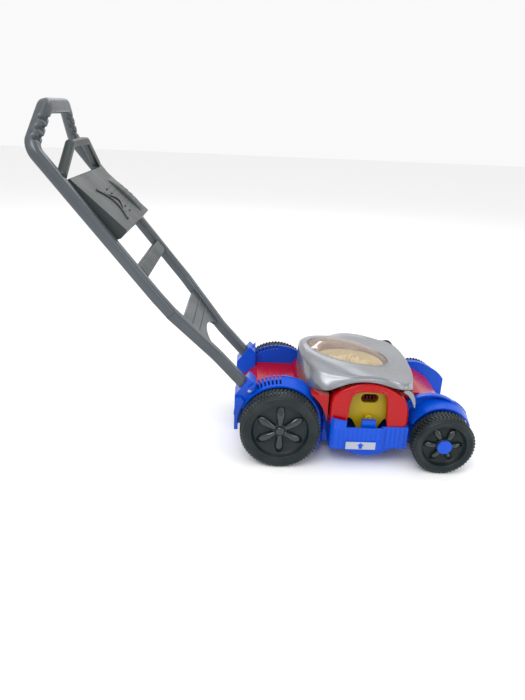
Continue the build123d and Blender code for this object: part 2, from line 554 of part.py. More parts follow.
for i in range(VENTS):
    rear_fender -= Pos(0, 0, REAR_RADIUS) * Rot(0, -(VENT_START + VENT_PITCH * i), 0) * vent
HANDLE_SCREW = (-45.0, 107.0)
HANDLE_HEAD_Y = -74.5
rear_fender -= rod_y(HANDLE_SCREW[0], HANDLE_SCREW[1], SCREW_RADIUS, -90, -50)
rear_fender -= rod_y(HANDLE_SCREW[0], HANDLE_SCREW[1], HEAD_RADIUS, -90, HANDLE_HEAD_Y)
rear_fender_right = one(rear_fender)
rear_fender_left = mirrored(rear_fender_right)

front_outer = FRONT_FENDER_R[0]
RIDGE_X = 222.0
RIDGE_R = 59.2
front_fender = flared_band(WHEELBASE, FRONT_RADIUS, FENDER_Y, FRONT_FENDER_EDGE, FRONT_FENDER_R, 24, 155)
front_fender += ring_sector(WHEELBASE, FRONT_RADIUS, front_outer, 6, -61, -FENDER_Y, 0, 180)
ridge_wall = ring_sector(RIDGE_X, FRONT_RADIUS, RIDGE_R, 40, -60.5, -FENDER_Y, 14, 150)
ridge_lip = ring_sector(RIDGE_X, FRONT_RADIUS, RIDGE_R, RIDGE_R - 2.6, -67, -FENDER_Y, 8, 150)
ridge_wall -= rod_y(WHEELBASE, FRONT_RADIUS, front_outer - FENDER_WALL, -FRONT_FENDER_EDGE, -61)
ridge_lip -= rod_y(WHEELBASE, FRONT_RADIUS, front_outer - FENDER_WALL, -FRONT_FENDER_EDGE, -61)
front_fender += ridge_wall + ridge_lip
front_fender -= rod_y(WHEELBASE, FRONT_RADIUS, 6, -70, -50)
front_fender &= block(POD_X[1] + 1, WHEELBASE + FRONT_RADIUS - 1, -100, -50, 30, 120)
front_fender_right = one(front_fender)
front_fender_left = mirrored(front_fender_right)

# ---------------------------------------------------------------- deck and base pan
deck_side = [
    (-54, PAN_Z[1]), (-54, 78), (-33, DECK_Z), (24, DECK_Z), (29, PLATFORM_Z), (203, PLATFORM_Z), (213, 99),
    (247, 79), (258, PAN_Z[1]),
]
deck_profile = Polygon(*deck_side, align=None)
deck_shell = slab(deck_profile, -BODY_HALF, BODY_HALF)
deck_shell -= slab(offset(deck_profile, -WALL), -BODY_HALF + WALL, BODY_HALF - WALL)
deck_shell -= block(-51.5, 255.5, -BODY_HALF + WALL, BODY_HALF - WALL, 60, PAN_Z[1] + 4)
deck_shell -= rod_z(FAN_X, 0, FAN_BOWL[1] + 0.3, 80, 120)
shoulder = block(38, 67.5, -90, -BODY_HALF, 70, PLATFORM_Z + 7)
shoulder -= rod_y(0, REAR_RADIUS, rear_outer + 0.3, -100, -50)
deck_shell += shoulder + mirrored(shoulder)
left_pod = slab(pod_arch, -BACK_Y[1], POD_Y) - slab(pod_inner, -BACK_Y[1] - 1, POD_Y - 3)
left_pod += slab(pod_arch, BODY_HALF, -BACK_Y[1]) - slab(pod_inner, BODY_HALF - 1, -BACK_Y[1] + 1)
left_pod -= block(60, 200, 50, POD_Y - 3, 60, 73)
deck_shell += left_pod
case_room = hull_of_circles([(x, z, radius + 0.4) for x, z, radius in gear_circles])
deck_shell -= slab(case_room, CASE_Y[0] - 1, CASE_Y[1] + 1)
column_room = slab(offset(column_profile, 0.2), COLUMN_Y[0], COLUMN_Y[1] + 0.2)
deck_shell -= column_room + mirrored(column_room)
for side in (rear_fender_right, rear_fender_left, front_fender_right, front_fender_left):
    deck_shell -= side

pan_outline = Polygon(
    (-54, -BODY_HALF), (258, -BODY_HALF), (258, BODY_HALF), (POD_X[1], BODY_HALF), (POD_X[1], POD_Y),
    (POD_X[0], POD_Y), (POD_X[0], BODY_HALF), (-54, BODY_HALF), align=None)
base_pan = plate(pan_outline, PAN_Z[0], PAN_Z[1])
base_pan -= plate(offset(pan_outline, -WALL), PAN_Z[0] + WALL, PAN_Z[1] + 1)
pod_curb = block(POD_X[0] + 2, POD_X[1] - 1, BODY_HALF, POD_Y, PAN_Z[1], 70)
pod_curb -= block(POD_X[0] + 4.5, POD_X[1] - 3.5, BODY_HALF - 1, POD_Y - WALL, PAN_Z[1] - 1, 71)
base_pan += pod_curb
BUSH_RADIUS = 5.0
base_pan -= rod_y(0, REAR_RADIUS, BUSH_RADIUS, -100, 100)
base_pan -= rod_y(WHEELBASE, FRONT_RADIUS, AXLE_RADIUS, -100, 100)
base_pan -= column_room + mirrored(column_room)
corner_screws = [(-20, -42), (-20, 42), (228, -42), (228, 42)]
for x, y in corner_screws:
    base_pan += rod_z(x, y, 4, PAN_Z[0] + 1, PAN_Z[1])
    base_pan -= rod_z(x, y, SCREW_RADIUS, 0, 100)
    base_pan -= rod_z(x, y, HEAD_RADIUS, 0, PAN_Z[0] + WALL)
    deck_shell += rod_z(x, y, 4, PAN_Z[1], 85)
    deck_shell -= rod_z(x, y, SCREW_RADIUS, 0, 80)
deck_shell -= rod_y(WAND_X, WAND_Z, SHAFT_RADIUS + 0.5, -60, -50)
base_pan = one(base_pan)
deck_screws = group([screw_z(x, y, PAN_Z[0] + WALL, 52) for x, y in corner_screws])
bush = rod_y(0, REAR_RADIUS, BUSH_RADIUS, -BODY_HALF, -50)
bush += rod_y(0, REAR_RADIUS, BUSH_RADIUS + 2, -54.4, -52.4)
bush -= rod_y(0, REAR_RADIUS, AXLE_RADIUS + RUN, -100, 0)
axle_bushes = group([bush, mirrored(bush)])

# ---------------------------------------------------------------- engine hood and window
tilt = math.tan(math.radians(HOOD_TILT))


def hood_top_z(x):
    return HOOD_TOP[1] - tilt * (x - HOOD_TOP[0])


def hood_outline(inset):
    """Plan view: round at the rear, wider over the side pods, blunt at the front."""
    side = [
        (HOOD_X[0], HOOD_HALF), (HOOD_WAIST, HOOD_HALF + 1), (HOOD_WING_X, HOOD_WING),
        (HOOD_X[1], HOOD_WING - 6),
    ]
    corners = [(x, -y) for x, y in side] + [(x, y) for x, y in reversed(side)]
    plan = Polygon(*corners, align=None)
    rear = plan.vertices().group_by(Axis.X)[0]
    plan = fillet(rear, HOOD_REAR_CORNER)
    front = plan.vertices().group_by(Axis.X)[-1]
    plan = fillet(front, HOOD_FRONT_CORNER)
    return offset(plan, -inset) if inset else plan


def hood_body(inset, base):
    """Block under the sloped top plane; inset shrinks it on every side but the bottom."""
    solid = plate(hood_outline(inset), base, 170)
    roof_line = [(x, hood_top_z(x) - inset) for x in (0, 260)]
    above = Polygon(*roof_line, (260, 190), (0, 190), align=None)
    solid -= slab(above, -110, 110)
    middles = [(edge, edge.center()) for edge in solid.edges()]
    crown_edges = [edge for edge, centre in middles if centre.Z > hood_top_z(centre.X) - inset - 0.5]
    return fillet(crown_edges, HOOD_CROWN - inset)


def under_wing(sign):
    """Space under the hood's side, whose lower edge rises outwards."""
    outer_z = HOOD_BASE + WING_RISE * (110 - WING_START)
    wedge = Polygon((WING_START, 60), (WING_START, HOOD_BASE), (110, outer_z), (110, 60), align=None)
    cross_plane = Plane(origin=(0, 0, 0), x_dir=(0, sign, 0), z_dir=(sign, 0, 0))
    return extrude(cross_plane * wedge, 260, dir=(1, 0, 0))


HOOD_BASE = PLATFORM_Z + 0.5
HOOD_SKIN = 3.0
hood_space = hood_body(0, HOOD_BASE) - under_wing(1) - under_wing(-1)
hood_hollow = hood_body(HOOD_SKIN, HOOD_BASE - 10)
engine_hood = hood_space - hood_hollow
pod_room = slab(offset(pod_arch, 0.8), -110, -50)
engine_hood -= pod_room + mirrored(pod_room)
fender_room = rod_y(0, REAR_RADIUS, rear_outer + 0.5, -100, -BODY_HALF)
engine_hood -= fender_room + mirrored(fender_room)
flange = slab(offset(pod_arch, 3.6), -POD_Y - 0.5, -64) - pod_room
flange &= slab(Polygon((63, 113), (116, 119), (191, 99), (195, 160), (60, 160), align=None), -110, -50)
flange -= hood_hollow
engine_hood += flange + mirrored(flange)
WINDOW_X = 103.6
WINDOW_LONG = 64.9
WINDOW_WIDE = 44.0
window_plane = Plane(origin=(WINDOW_X, 0, hood_top_z(WINDOW_X)), x_dir=(1, 0, -tilt), z_dir=(tilt, 0, 1))
window_hole = extrude(window_plane.offset(-12) * Ellipse(WINDOW_LONG, WINDOW_WIDE), 24)
engine_hood -= window_hole
rim_ring = Ellipse(WINDOW_LONG, WINDOW_WIDE) - Ellipse(WINDOW_LONG - 3, WINDOW_WIDE - 3)
rim = extrude(window_plane.offset(-3) * rim_ring, 1.4)
engine_hood += rim
hood_window = extrude(window_plane.offset(-1.6) * Ellipse(WINDOW_LONG - 0.1, WINDOW_WIDE - 0.1), 2.2)
hood_screw_spots = [(44, -40), (44, 40), (190, -40), (190, 40)]
for x, y in hood_screw_spots:
    post = rod_z(x, y, 4, HOOD_BASE - 0.5, 150) & hood_body(1, HOOD_BASE - 0.5)
    engine_hood += post
    engine_hood -= rod_z(x, y, SCREW_RADIUS, 90, 118)
    deck_shell -= rod_z(x, y, SCREW_RADIUS, 96, 120)
engine_hood = one(engine_hood)
hood_screws = group([screw_z(x, y, PLATFORM_Z - WALL, 12) for x, y in hood_screw_spots])
deck_shell -= hood_space
deck_shell = one(deck_shell)
bubble_chamber -= engine_hood
bubble_chamber = one(bubble_chamber)
arch_housing = one(arch_housing - solution_tray)

# ---------------------------------------------------------------- handle
GRIP_TOP = (-311.0, 42.0, 474.0)
SPIGOT = 20.0
seam_right = right_side(SEAM)
knee_right = (KNEE[0], -RAIL_Y, KNEE[1])
bend_right = (BEND[0], -RAIL_Y, BEND[1])
top_right = right_side(GRIP_TOP)
top_middle = (GRIP_TOP[0], 0, GRIP_TOP[2])


def swept(points, radii, width, depth, corner):
    """Rounded bar along straight runs joined by arcs."""
    path = FilletPolyline(*points, radius=radii)
    return sweep(rail_plane(points[0], points[1]) * RectangleRounded(width, depth, corner), path=path)


spigot_plane = rail_plane(seam_right, knee_right)
spigot = extrude(spigot_plane * RectangleRounded(13, 10, 2), SPIGOT)
spigot_room = extrude(spigot_plane * RectangleRounded(13.4, 10.4, 2), SPIGOT + 0.5)

seam_start = right_side(along(NECK, SEAM, 3))
lower_path = [seam_start, right_side(NECK), right_side(rail_foot)]
lower_rail = swept(lower_path, 50, RAIL_W, RAIL_D, RAIL_ROUND) + spigot
lower_rail -= rod_y(HANDLE_SCREW[0], HANDLE_SCREW[1], SCREW_RADIUS, -90, -40)
web_start = Vector(-140, 0, 208.5)
web_slope = Vector(NECK[0] - SEAM[0], 0, NECK[2] - SEAM[2])
web_plane = Plane(origin=web_start, x_dir=(0, 1, 0), z_dir=web_slope.cross(Vector(0, 1, 0)))
WEB_LENGTH = 58.0
web_sign = 1 if web_plane.y_dir.Z > 0 else -1
web_foot = -web_sign * WEB_LENGTH
web_outline = Polygon((-84, 0), (84, 0), (60, web_foot), (-60, web_foot), align=None)
arch_cut = Pos(0, -web_sign * (WEB_LENGTH + 6)) * Ellipse(44, 22)
web = extrude(web_plane * (web_outline - arch_cut), 2.0, both=True)
for step in (0.3, 0.55):
    web += extrude(web_plane * Pos(0, -web_sign * WEB_LENGTH * step) * Rectangle(130, 2.4), 3.2, both=True)
rail_pair = lower_rail + mirrored(lower_rail)
upper_path = [seam_right, knee_right, bend_right, top_right, top_middle]
upper_half = swept(upper_path, [60, 18, 16], RAIL_W, RAIL_D, RAIL_ROUND)
upper_half -= spigot_room
bail_half = swept([(-284, -88, 397), (-285, -36, 430), (-285, 0, 430)], [8], 12, 10, 3)
handle_upper = upper_half + mirrored(upper_half) + bail_half + mirrored(bail_half)
rail_rise = Vector(BEND[0] - KNEE[0], 0, BEND[1] - KNEE[1]).normalized()
rail_frame = Plane(origin=(KNEE[0], 0, KNEE[1]), x_dir=rail_rise, z_dir=(0, 1, 0))


def between_rails(outline, half_width):
    """Outline drawn as (distance up the rails, height above them), spanning the gap between the rails."""
    return extrude(rail_frame.offset(-half_width) * outline, 2 * half_width, dir=(0, 1, 0))


CROSSBAR_AT = 34.0
crossbar = between_rails(Pos(CROSSBAR_AT, 0) * RectangleRounded(20, 13, 3), 86)
handle_upper += crossbar
CONSOLE_ALONG = (87.0, 178.0)
CONSOLE_HALF = RAIL_Y - RAIL_W / 2 - 0.4
console_side = Polygon((CONSOLE_ALONG[0] + 3, -5), (CONSOLE_ALONG[1], -5), (CONSOLE_ALONG[1], 9.0),
                       (CONSOLE_ALONG[0], 24), (CONSOLE_ALONG[0] - 3, 11), align=None)
handle_console = between_rails(console_side, CONSOLE_HALF)
handle_console = fillet(handle_console.edges().filter_by(Axis.Y), 2)
console_mouth = Pos(sum(CONSOLE_ALONG) / 2, -6) * Rectangle(CONSOLE_ALONG[1] - CONSOLE_ALONG[0] - 10, 8)
handle_console -= between_rails(offset(console_side, -WALL) + console_mouth, CONSOLE_HALF - WALL)
handle_upper -= between_rails(console_side, CONSOLE_HALF)
handle_upper = one(handle_upper)
handle_lower = one(rail_pair + web - handle_upper)
handle_console = one(handle_console)
handle_screw_right = screw_y(HANDLE_SCREW[0], HANDLE_SCREW[1], HANDLE_HEAD_Y, 18)
handle_screws = group([handle_screw_right, mirrored(handle_screw_right)])

# ---------------------------------------------------------------- export, centred fore and aft
pieces = {
    "deck_shell": deck_shell, "base_pan": base_pan,
    "rear_fender_right": rear_fender_right, "rear_fender_left": rear_fender_left,
    "front_fender_right": front_fender_right, "front_fender_left": front_fender_left,
    "arch_housing": arch_housing, "bubble_chamber": bubble_chamber,
    "solution_tray": solution_tray, "tray_label": tray_label,
    "engine_hood": engine_hood, "hood_window": hood_window,
    "fan_housing": fan_housing, "blower_fan": blower_fan, "fan_shaft": fan_shaft, "fan_pinion": fan_pinion,
    "gearbox_case_right": gearbox_case_right, "gearbox_case_left": gearbox_case_left,
    "drive_gear": drive_gear, "compound_gear": compound_gear, "idler_pin": idler_pin,
    "crown_gear": crown_gear, "wand_gear": wand_gear, "wand_shaft": wand_shaft,
    "bubble_wheel": bubble_wheel,
    "rear_axle": rear_axle, "axle_bushes": axle_bushes, "front_axle": front_axle,
    "front_push_nuts": front_push_nuts,
    "rear_wheel_right": rear_wheel_right, "rear_wheel_left": rear_wheel_left,
    "front_wheel_right": front_wheel_right, "front_wheel_left": front_wheel_left,
    "front_hub_cap_right": front_hub_cap_right, "front_hub_cap_left": front_hub_cap_left,
    "handle_lower": handle_lower, "handle_upper": handle_upper, "handle_console": handle_console,
    "deck_screws": deck_screws, "gearbox_screws": gearbox_screws,
    "hood_screws": hood_screws, "handle_screws": handle_screws,
}
rearmost = handle_upper.bounding_box().min.X
foremost = WHEELBASE + FRONT_RADIUS
shift = -(rearmost + foremost) / 2
os.makedirs("parts", exist_ok=True)
for name, shape in pieces.items():
    export_step(Pos(shift, 0, 0) * shape, f"parts/{name}.step")
print(f"shift {shift:.3f} idler {IDLER_X:.3f} {IDLER_Z:.3f} wand {WAND_X:.3f} {WAND_Z:.3f}")
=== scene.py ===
import json
import math
import bmesh
import bpy
from mathutils import Matrix, Vector


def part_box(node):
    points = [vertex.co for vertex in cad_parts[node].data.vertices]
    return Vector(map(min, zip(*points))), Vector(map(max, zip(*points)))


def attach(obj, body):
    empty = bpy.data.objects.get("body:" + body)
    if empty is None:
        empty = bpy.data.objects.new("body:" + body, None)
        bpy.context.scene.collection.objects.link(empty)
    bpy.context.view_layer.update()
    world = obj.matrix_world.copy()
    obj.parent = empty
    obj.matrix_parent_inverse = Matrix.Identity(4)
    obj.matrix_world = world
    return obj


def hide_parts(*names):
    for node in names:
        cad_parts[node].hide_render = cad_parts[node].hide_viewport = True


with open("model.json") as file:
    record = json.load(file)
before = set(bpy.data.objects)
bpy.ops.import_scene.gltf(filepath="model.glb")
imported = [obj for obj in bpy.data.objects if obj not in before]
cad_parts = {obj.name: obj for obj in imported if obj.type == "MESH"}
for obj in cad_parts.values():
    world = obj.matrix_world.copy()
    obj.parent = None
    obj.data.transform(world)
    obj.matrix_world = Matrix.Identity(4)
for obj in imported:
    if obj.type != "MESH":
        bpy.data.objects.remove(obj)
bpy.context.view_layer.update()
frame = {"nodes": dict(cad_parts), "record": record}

NODES = frame["nodes"]
MM = 0.001


def middle(node):
    """Centre of a CAD node's box."""
    low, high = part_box(node)
    return (low + high) / 2


REAR_AXLE = middle("rear_axle")


def at(x, y, z):
    """Point in millimetres: x ahead of the rear axle, y to the left, z above the floor."""
    return Vector((REAR_AXLE.x + x * MM, y * MM, z * MM))


# ---------------------------------------------------------------- camera, light and floor
CAMERA_SPOT = (-53.7, -850.0, 482.1)
CAMERA_HEADING, CAMERA_DIP, CAMERA_ROLL = math.radians(1.827), math.radians(21.927), math.radians(2.507)
CAMERA_LENS = 30.857
LIGHT_TARGET = Vector((0.0, 0.0, 0.12))
FLOOR_HALF = 6


def make_camera():
    """View from the right side, a little above the toy."""
    data = bpy.data.cameras.new("camera")
    data.sensor_width = 36.0
    data.lens = CAMERA_LENS
    data.clip_start = 0.02
    camera = bpy.data.objects.new("camera", data)
    turn = Matrix.Rotation(-CAMERA_HEADING, 4, "Z") @ Matrix.Rotation(math.pi / 2 - CAMERA_DIP, 4, "X")
    turn = turn @ Matrix.Rotation(CAMERA_ROLL, 4, "Z")
    camera.matrix_world = Matrix.Translation(at(*CAMERA_SPOT)) @ turn
    bpy.context.scene.collection.objects.link(camera)
    bpy.context.scene.camera = camera


def area_light(name, place, size, power):
    """Rectangular soft box, aimed at the middle of the toy."""
    data = bpy.data.lights.new(name, "AREA")
    data.shape = "RECTANGLE"
    data.size, data.size_y = size
    data.energy = power
    light = bpy.data.objects.new(name, data)
    light.location = place
    light.rotation_euler = (LIGHT_TARGET - Vector(place)).to_track_quat("-Z", "Y").to_euler()
    bpy.context.scene.collection.objects.link(light)


def make_stage():
    """Plain pale floor and a soft even studio."""
    world = bpy.data.worlds.new("studio")
    world.use_nodes = True
    backdrop = world.node_tree.nodes["Background"]
    backdrop.inputs["Color"].default_value = (1, 1, 1, 1)
    backdrop.inputs["Strength"].default_value = 0.95
    bpy.context.scene.world = world
    bpy.context.scene.view_settings.view_transform = "Standard"
    area_light("key", (-0.5, -1.1, 1.5), (1.2, 0.8), 16)
    area_light("fill", (1.4, -1.0, 0.9), (1.0, 1.0), 5)
    area_light("back", (0.2, 1.6, 1.4), (1.6, 0.8), 7)
    area_light("top", (0.0, 0.0, 1.9), (1.4, 1.4), 5)
    mesh = bpy.data.meshes.new("floor")
    corners = [(x * FLOOR_HALF, y * FLOOR_HALF, 0) for x, y in ((-1, -1), (1, -1), (1, 1), (-1, 1))]
    mesh.from_pydata(corners, [], [(0, 1, 2, 3)])
    floor = bpy.data.objects.new("floor", mesh)
    bpy.context.scene.collection.objects.link(floor)
    material = bpy.data.materials.new("floor_paper")
    material.use_nodes = True
    shader = material.node_tree.nodes["Principled BSDF"]
    shader.inputs["Base Color"].default_value = (0.92, 0.92, 0.92, 1)
    shader.inputs["Roughness"].default_value = 0.9
    mesh.materials.append(material)


# ---------------------------------------------------------------- materials
class Nodes:
    """Short-hand for building a node tree."""

    def __init__(self, name):
        self.material = bpy.data.materials.new(name)
        self.material.use_nodes = True
        self.tree = self.material.node_tree
        self.shader = self.tree.nodes["Principled BSDF"]
        self.coords = self.add("ShaderNodeTexCoord").outputs["Object"]

    def add(self, kind, **settings):
        """New shader node with some of its properties set."""
        node = self.tree.nodes.new(kind)
        for key, value in settings.items():
            setattr(node, key, value)
        return node

    def link(self, source, target):
        self.tree.links.new(source, target)

    def noise(self, scale, detail=2.0, stretch=(1, 1, 1), roughness=0.5):
        """Noise factor in object space; stretch squeezes the pattern along an axis."""
        mapping = self.add("ShaderNodeMapping")
        mapping.inputs["Scale"].default_value = stretch
        self.link(self.coords, mapping.inputs["Vector"])
        node = self.add("ShaderNodeTexNoise")
        node.inputs["Scale"].default_value = scale
        node.inputs["Detail"].default_value = detail
        node.inputs["Roughness"].default_value = roughness
        self.link(mapping.outputs["Vector"], node.inputs["Vector"])
        return node.outputs["Fac"]

    def ramp(self, factor, low, high, start, end):
        """Maps a factor from low..high to start..end."""
        node = self.add("ShaderNodeMapRange")
        node.inputs["From Min"].default_value = low
        node.inputs["From Max"].default_value = high
        node.inputs["To Min"].default_value = start
        node.inputs["To Max"].default_value = end
        self.link(factor, node.inputs["Value"])
        return node.outputs["Result"]

    def mix(self, factor, first, second):
        """Colour between two colours or sockets."""
        node = self.add("ShaderNodeMix", data_type="RGBA")
        for socket, value in ((6, first), (7, second)):
            if isinstance(value, tuple):
                node.inputs[socket].default_value = (*value, 1)
            else:
                self.link(value, node.inputs[socket])
        self.link(factor, node.inputs[0])
        return node.outputs[2]

    def maths(self, operation, first, second):
        """Sum, product or other operation on two numbers or sockets."""
        node = self.add("ShaderNodeMath", operation=operation)
        for index, value in enumerate((first, second)):
            if isinstance(value, (int, float)):
                node.inputs[index].default_value = value
            else:
                self.link(value, node.inputs[index])
        return node.outputs[0]

    def bump(self, height, strength, distance):
        """Fine surface relief from a height socket."""
        node = self.add("ShaderNodeBump")
        node.inputs["Strength"].default_value = strength
        node.inputs["Distance"].default_value = distance
        self.link(height, node.inputs["Height"])
        self.link(node.outputs["Normal"], self.shader.inputs["Normal"])


def shade(colour, factor):
    """Lighter or darker version of a colour."""
    return tuple(min(1.0, c * factor) for c in colour)


# Texture scales in object space; the patterns repeat about this many times in a metre.
DRIFT_SCALE, PATCH_SCALE, DUST_SCALE, SCRATCH_SCALE, FLAKE_SCALE = 9, 24, 38, 260, 2600
PEEL_SCALE, FINE_PEEL_SCALE = 60, 700
SCRATCH_STRETCH = (1, 0.06, 0.35)
SCRATCH_TINT = 0.1225   # how far a scratch lightens the colour
DUST_COLOUR = (0.42, 0.42, 0.40)


def moulded(name, colour, rough, peel=0.10, coat=0.0, flake=0.0, metal=0.0, dust=0.0):
    """Moulded plastic: faint colour drift, orange-peel skin, rubbed patches and fine scratches."""
    n = Nodes(name)
    drift = n.ramp(n.noise(DRIFT_SCALE, 3), 0.3, 0.7, 0.0, 1.0)
    base = n.mix(drift, shade(colour, 0.88), shade(colour, 1.10))
    scratch = n.ramp(n.noise(SCRATCH_SCALE, 3, SCRATCH_STRETCH, 0.7), 0.66, 0.74, 0.0, 1.0)
    base = n.mix(n.maths("MULTIPLY", scratch, SCRATCH_TINT), base, shade(colour, 1.6))
    if flake:
        cells = n.add("ShaderNodeTexVoronoi")
        cells.inputs["Scale"].default_value = FLAKE_SCALE
        n.link(n.coords, cells.inputs["Vector"])
        glint = n.ramp(cells.outputs["Distance"], 0.0, 0.35, 1.0, 0.0)
        base = n.mix(n.maths("MULTIPLY", glint, flake), base, shade(colour, 1.7))
    if dust:
        settle = n.ramp(n.noise(DUST_SCALE, 4), 0.45, 0.75, 0.0, dust)
        base = n.mix(settle, base, DUST_COLOUR)
    n.link(base, n.shader.inputs["Base Color"])
    patch = n.ramp(n.noise(PATCH_SCALE, 4), 0.3, 0.72, rough - 0.06, rough + 0.12)
    n.link(n.maths("ADD", patch, n.maths("MULTIPLY", scratch, 0.12)), n.shader.inputs["Roughness"])
    n.shader.inputs["Metallic"].default_value = metal
    n.shader.inputs["Coat Weight"].default_value = coat
    n.shader.inputs["Coat Roughness"].default_value = 0.12
    n.shader.inputs["IOR"].default_value = 1.5
    n.shader.inputs["Specular IOR Level"].default_value = 0.27
    waves = n.maths("MULTIPLY", n.noise(PEEL_SCALE, 2), 0.6)
    relief = n.maths("ADD", n.noise(FINE_PEEL_SCALE, 2), waves)
    relief = n.maths("SUBTRACT", relief, n.maths("MULTIPLY", scratch, 0.5))
    n.bump(relief, peel, 0.0004)
    return n.material


def clear_window():
    """Clear tinted plastic with faint haze and hairline scratches."""
    n = Nodes("clear_amber_window")
    n.shader.inputs["Base Color"].default_value = (0.60, 0.47, 0.40, 1)
    n.link(n.ramp(n.noise(22, 3), 0.3, 0.7, 0.20, 0.27), n.shader.inputs["Alpha"])
    n.shader.inputs["IOR"].default_value = 1.45
    n.link(n.ramp(n.noise(30, 4), 0.35, 0.7, 0.04, 0.14), n.shader.inputs["Roughness"])
    n.bump(n.noise(420, 3, (1, 0.08, 0.4), 0.7), 0.05, 0.0003)
    return n.material


PLASTICS = {
    "red_plastic": dict(colour=(0.36, 0.0015, 0.004), rough=0.22, coat=0.05),
    "blue_plastic": dict(colour=(0.0005, 0.062, 0.50), rough=0.24, coat=0.04),
    "silver_plastic": dict(colour=(0.24, 0.25, 0.27), rough=0.27, flake=0.35, metal=0.6, coat=0.25),
    "handle_plastic": dict(colour=(0.080, 0.092, 0.102), rough=0.30, flake=0.4, metal=0.5),
    "console_plastic": dict(colour=(0.034, 0.042, 0.042), rough=0.34, flake=0.25, metal=0.3),
    "yellow_plastic": dict(colour=(0.34, 0.25, 0.004), rough=0.26),
    "pale_yellow_plastic": dict(colour=(0.88, 0.80, 0.42), rough=0.36),
    "wheel_plastic": dict(colour=(0.005, 0.011, 0.013), rough=0.36, peel=0.18, dust=0.03),
    "tread_plastic": dict(colour=(0.014, 0.020, 0.021), rough=0.5, peel=0.3, dust=0.10),
    "gloss_plastic": dict(colour=(0.005, 0.012, 0.014), rough=0.16, coat=0.8),
    # dark_red_plastic is the red plastic darkened: painted shade for recessed parts such as the nozzle's
    # throat.
    "dark_red_plastic": dict(colour=(0.10, 0.008, 0.006), rough=0.35),
    "white_gear_plastic": dict(colour=(0.75, 0.74, 0.68), rough=0.4),
    "black_case_plastic": dict(colour=(0.03, 0.03, 0.033), rough=0.4),
    "steel": dict(colour=(0.55, 0.55, 0.56), rough=0.3, metal=1.0),
    "grey_label": dict(colour=(0.34, 0.37, 0.42), rough=0.45),
}
MATERIALS = {name: moulded(name, **recipe) for name, recipe in PLASTICS.items()}
MATERIALS["clear_amber_window"] = clear_window()


EDGE_ANGLE = 35   # edges sharper than this, in degrees, are rounded
EDGE_ROUND, LABEL_ROUND = 0.6, 0.1


def soften(made, width, segments=2, angle=EDGE_ANGLE):
    """Rounds the sharp edges by a width in millimetres."""
    modifier = made.modifiers.new("soft_edges", "BEVEL")
    modifier.width = width * MM
    modifier.segments = segments
    modifier.limit_method = "ANGLE"
    modifier.angle_limit = math.radians(angle)


def dress_cad():
    """Each carried-over node gets a material, welded seams and softened moulding edges."""
    looks = {part["node"]: part["material_slot"] for part in frame["record"]["subparts"]}
    looks["handle_console"] = "console_plastic"
    for name, node in NODES.items():
        node.data.materials.clear()
        node.data.materials.append(MATERIALS[looks[name]])
        weld = node.modifiers.new("weld", "WELD")
        weld.merge_threshold = 0.02 * MM
        soften(node, LABEL_ROUND if name == "tray_label" else EDGE_ROUND)
        for face in node.data.polygons:
            face.use_smooth = True
        normals = node.modifiers.new("normals", "WEIGHTED_NORMAL")
        normals.keep_sharp = True


# ---------------------------------------------------------------- mesh helpers
def piece(name, verts, faces, material, body, slot, replaces=(), smooth=True):
    """New part of the toy: consistent normals, riding on a CAD body."""
    mesh = bpy.data.meshes.new(name)
    mesh.from_pydata([tuple(v) for v in verts], [], faces)
    shape = bmesh.new()
    shape.from_mesh(mesh)
    bmesh.ops.recalc_face_normals(shape, faces=shape.faces)
    shape.to_mesh(mesh)
    shape.free()
    for face in mesh.polygons:
        face.use_smooth = smooth
    mesh.materials.append(MATERIALS[material])
    made = bpy.data.objects.new(name, mesh)
    bpy.context.scene.collection.objects.link(made)
    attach(made, body)
    if replaces:
        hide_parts(*replaces)
    return made


def skin(rows, wrap_rows=False, wrap_points=True):
    """Quads between rows of equally many points."""
    verts = [v for row in rows for v in row]
    count = len(rows[0])
    faces = []
    row_spans = len(rows) if wrap_rows else len(rows) - 1
    point_spans = count if wrap_points else count - 1
    for i in range(row_spans):
        for j in range(point_spans):
            low, high = i * count, (i + 1) % len(rows) * count
            after = (j + 1) % count
            faces.append((low + j, low + after, high + after, high + j))
    return verts, faces


def capped(rows):
    """Quads between rows of points, with a face over each end."""
    verts, faces = skin(rows)
    ring = len(rows[0])
    faces += [tuple(range(ring)), tuple(len(verts) - ring + i for i in range(ring))]
    return verts, faces


def joined(*parts):
    """Several (verts, faces) lists as one."""
    verts, faces = [], []
    for part_verts, part_faces in parts:
        base = len(verts)
        verts += part_verts
        faces += [tuple(base + i for i in face) for face in part_faces]
    return verts, faces


def subdivide(made, levels=2):
    """Smooth rounding of a coarse mesh."""
    modifier = made.modifiers.new("rounding", "SUBSURF")
    modifier.levels = levels
    modifier.render_levels = levels


def lerp(a, b, t):
    """Value part of the way from a to b."""
    return a + (b - a) * t


def smoothstep(t):
    """Ease from 0 to 1 without a kink."""
    t = max(0.0, min(1.0, t))
    return t * t * (3 - 2 * t)


# ---------------------------------------------------------------- wheels
AXLE_HOLE = 2.7   # radius of the hole through the hub
DISH_SHARE = 0.715   # dish radius as a share of the wheel's
DISH_FLOOR = 11.2   # depth of the dish floor that the petals rise from
PETAL_BACK = 11.9   # depth of the petals' flat backs, below the dish floor
PETAL_RISE = 7.4
PETALS = 6
PETAL_ROWS, PETAL_COLUMNS = 15, 9
LUG_PITCH = 5.4   # spacing of the tread blocks round the wheel
REAR_WHEEL = dict(tread_start=10.5, hub_radius=10.5, hub_depth=6.5, petal_half=6.8, first=math.pi / 6)
FRONT_WHEEL = dict(tread_start=2.0, hub_radius=11.2, hub_depth=3.2, petal_half=5.2, first=0.0)


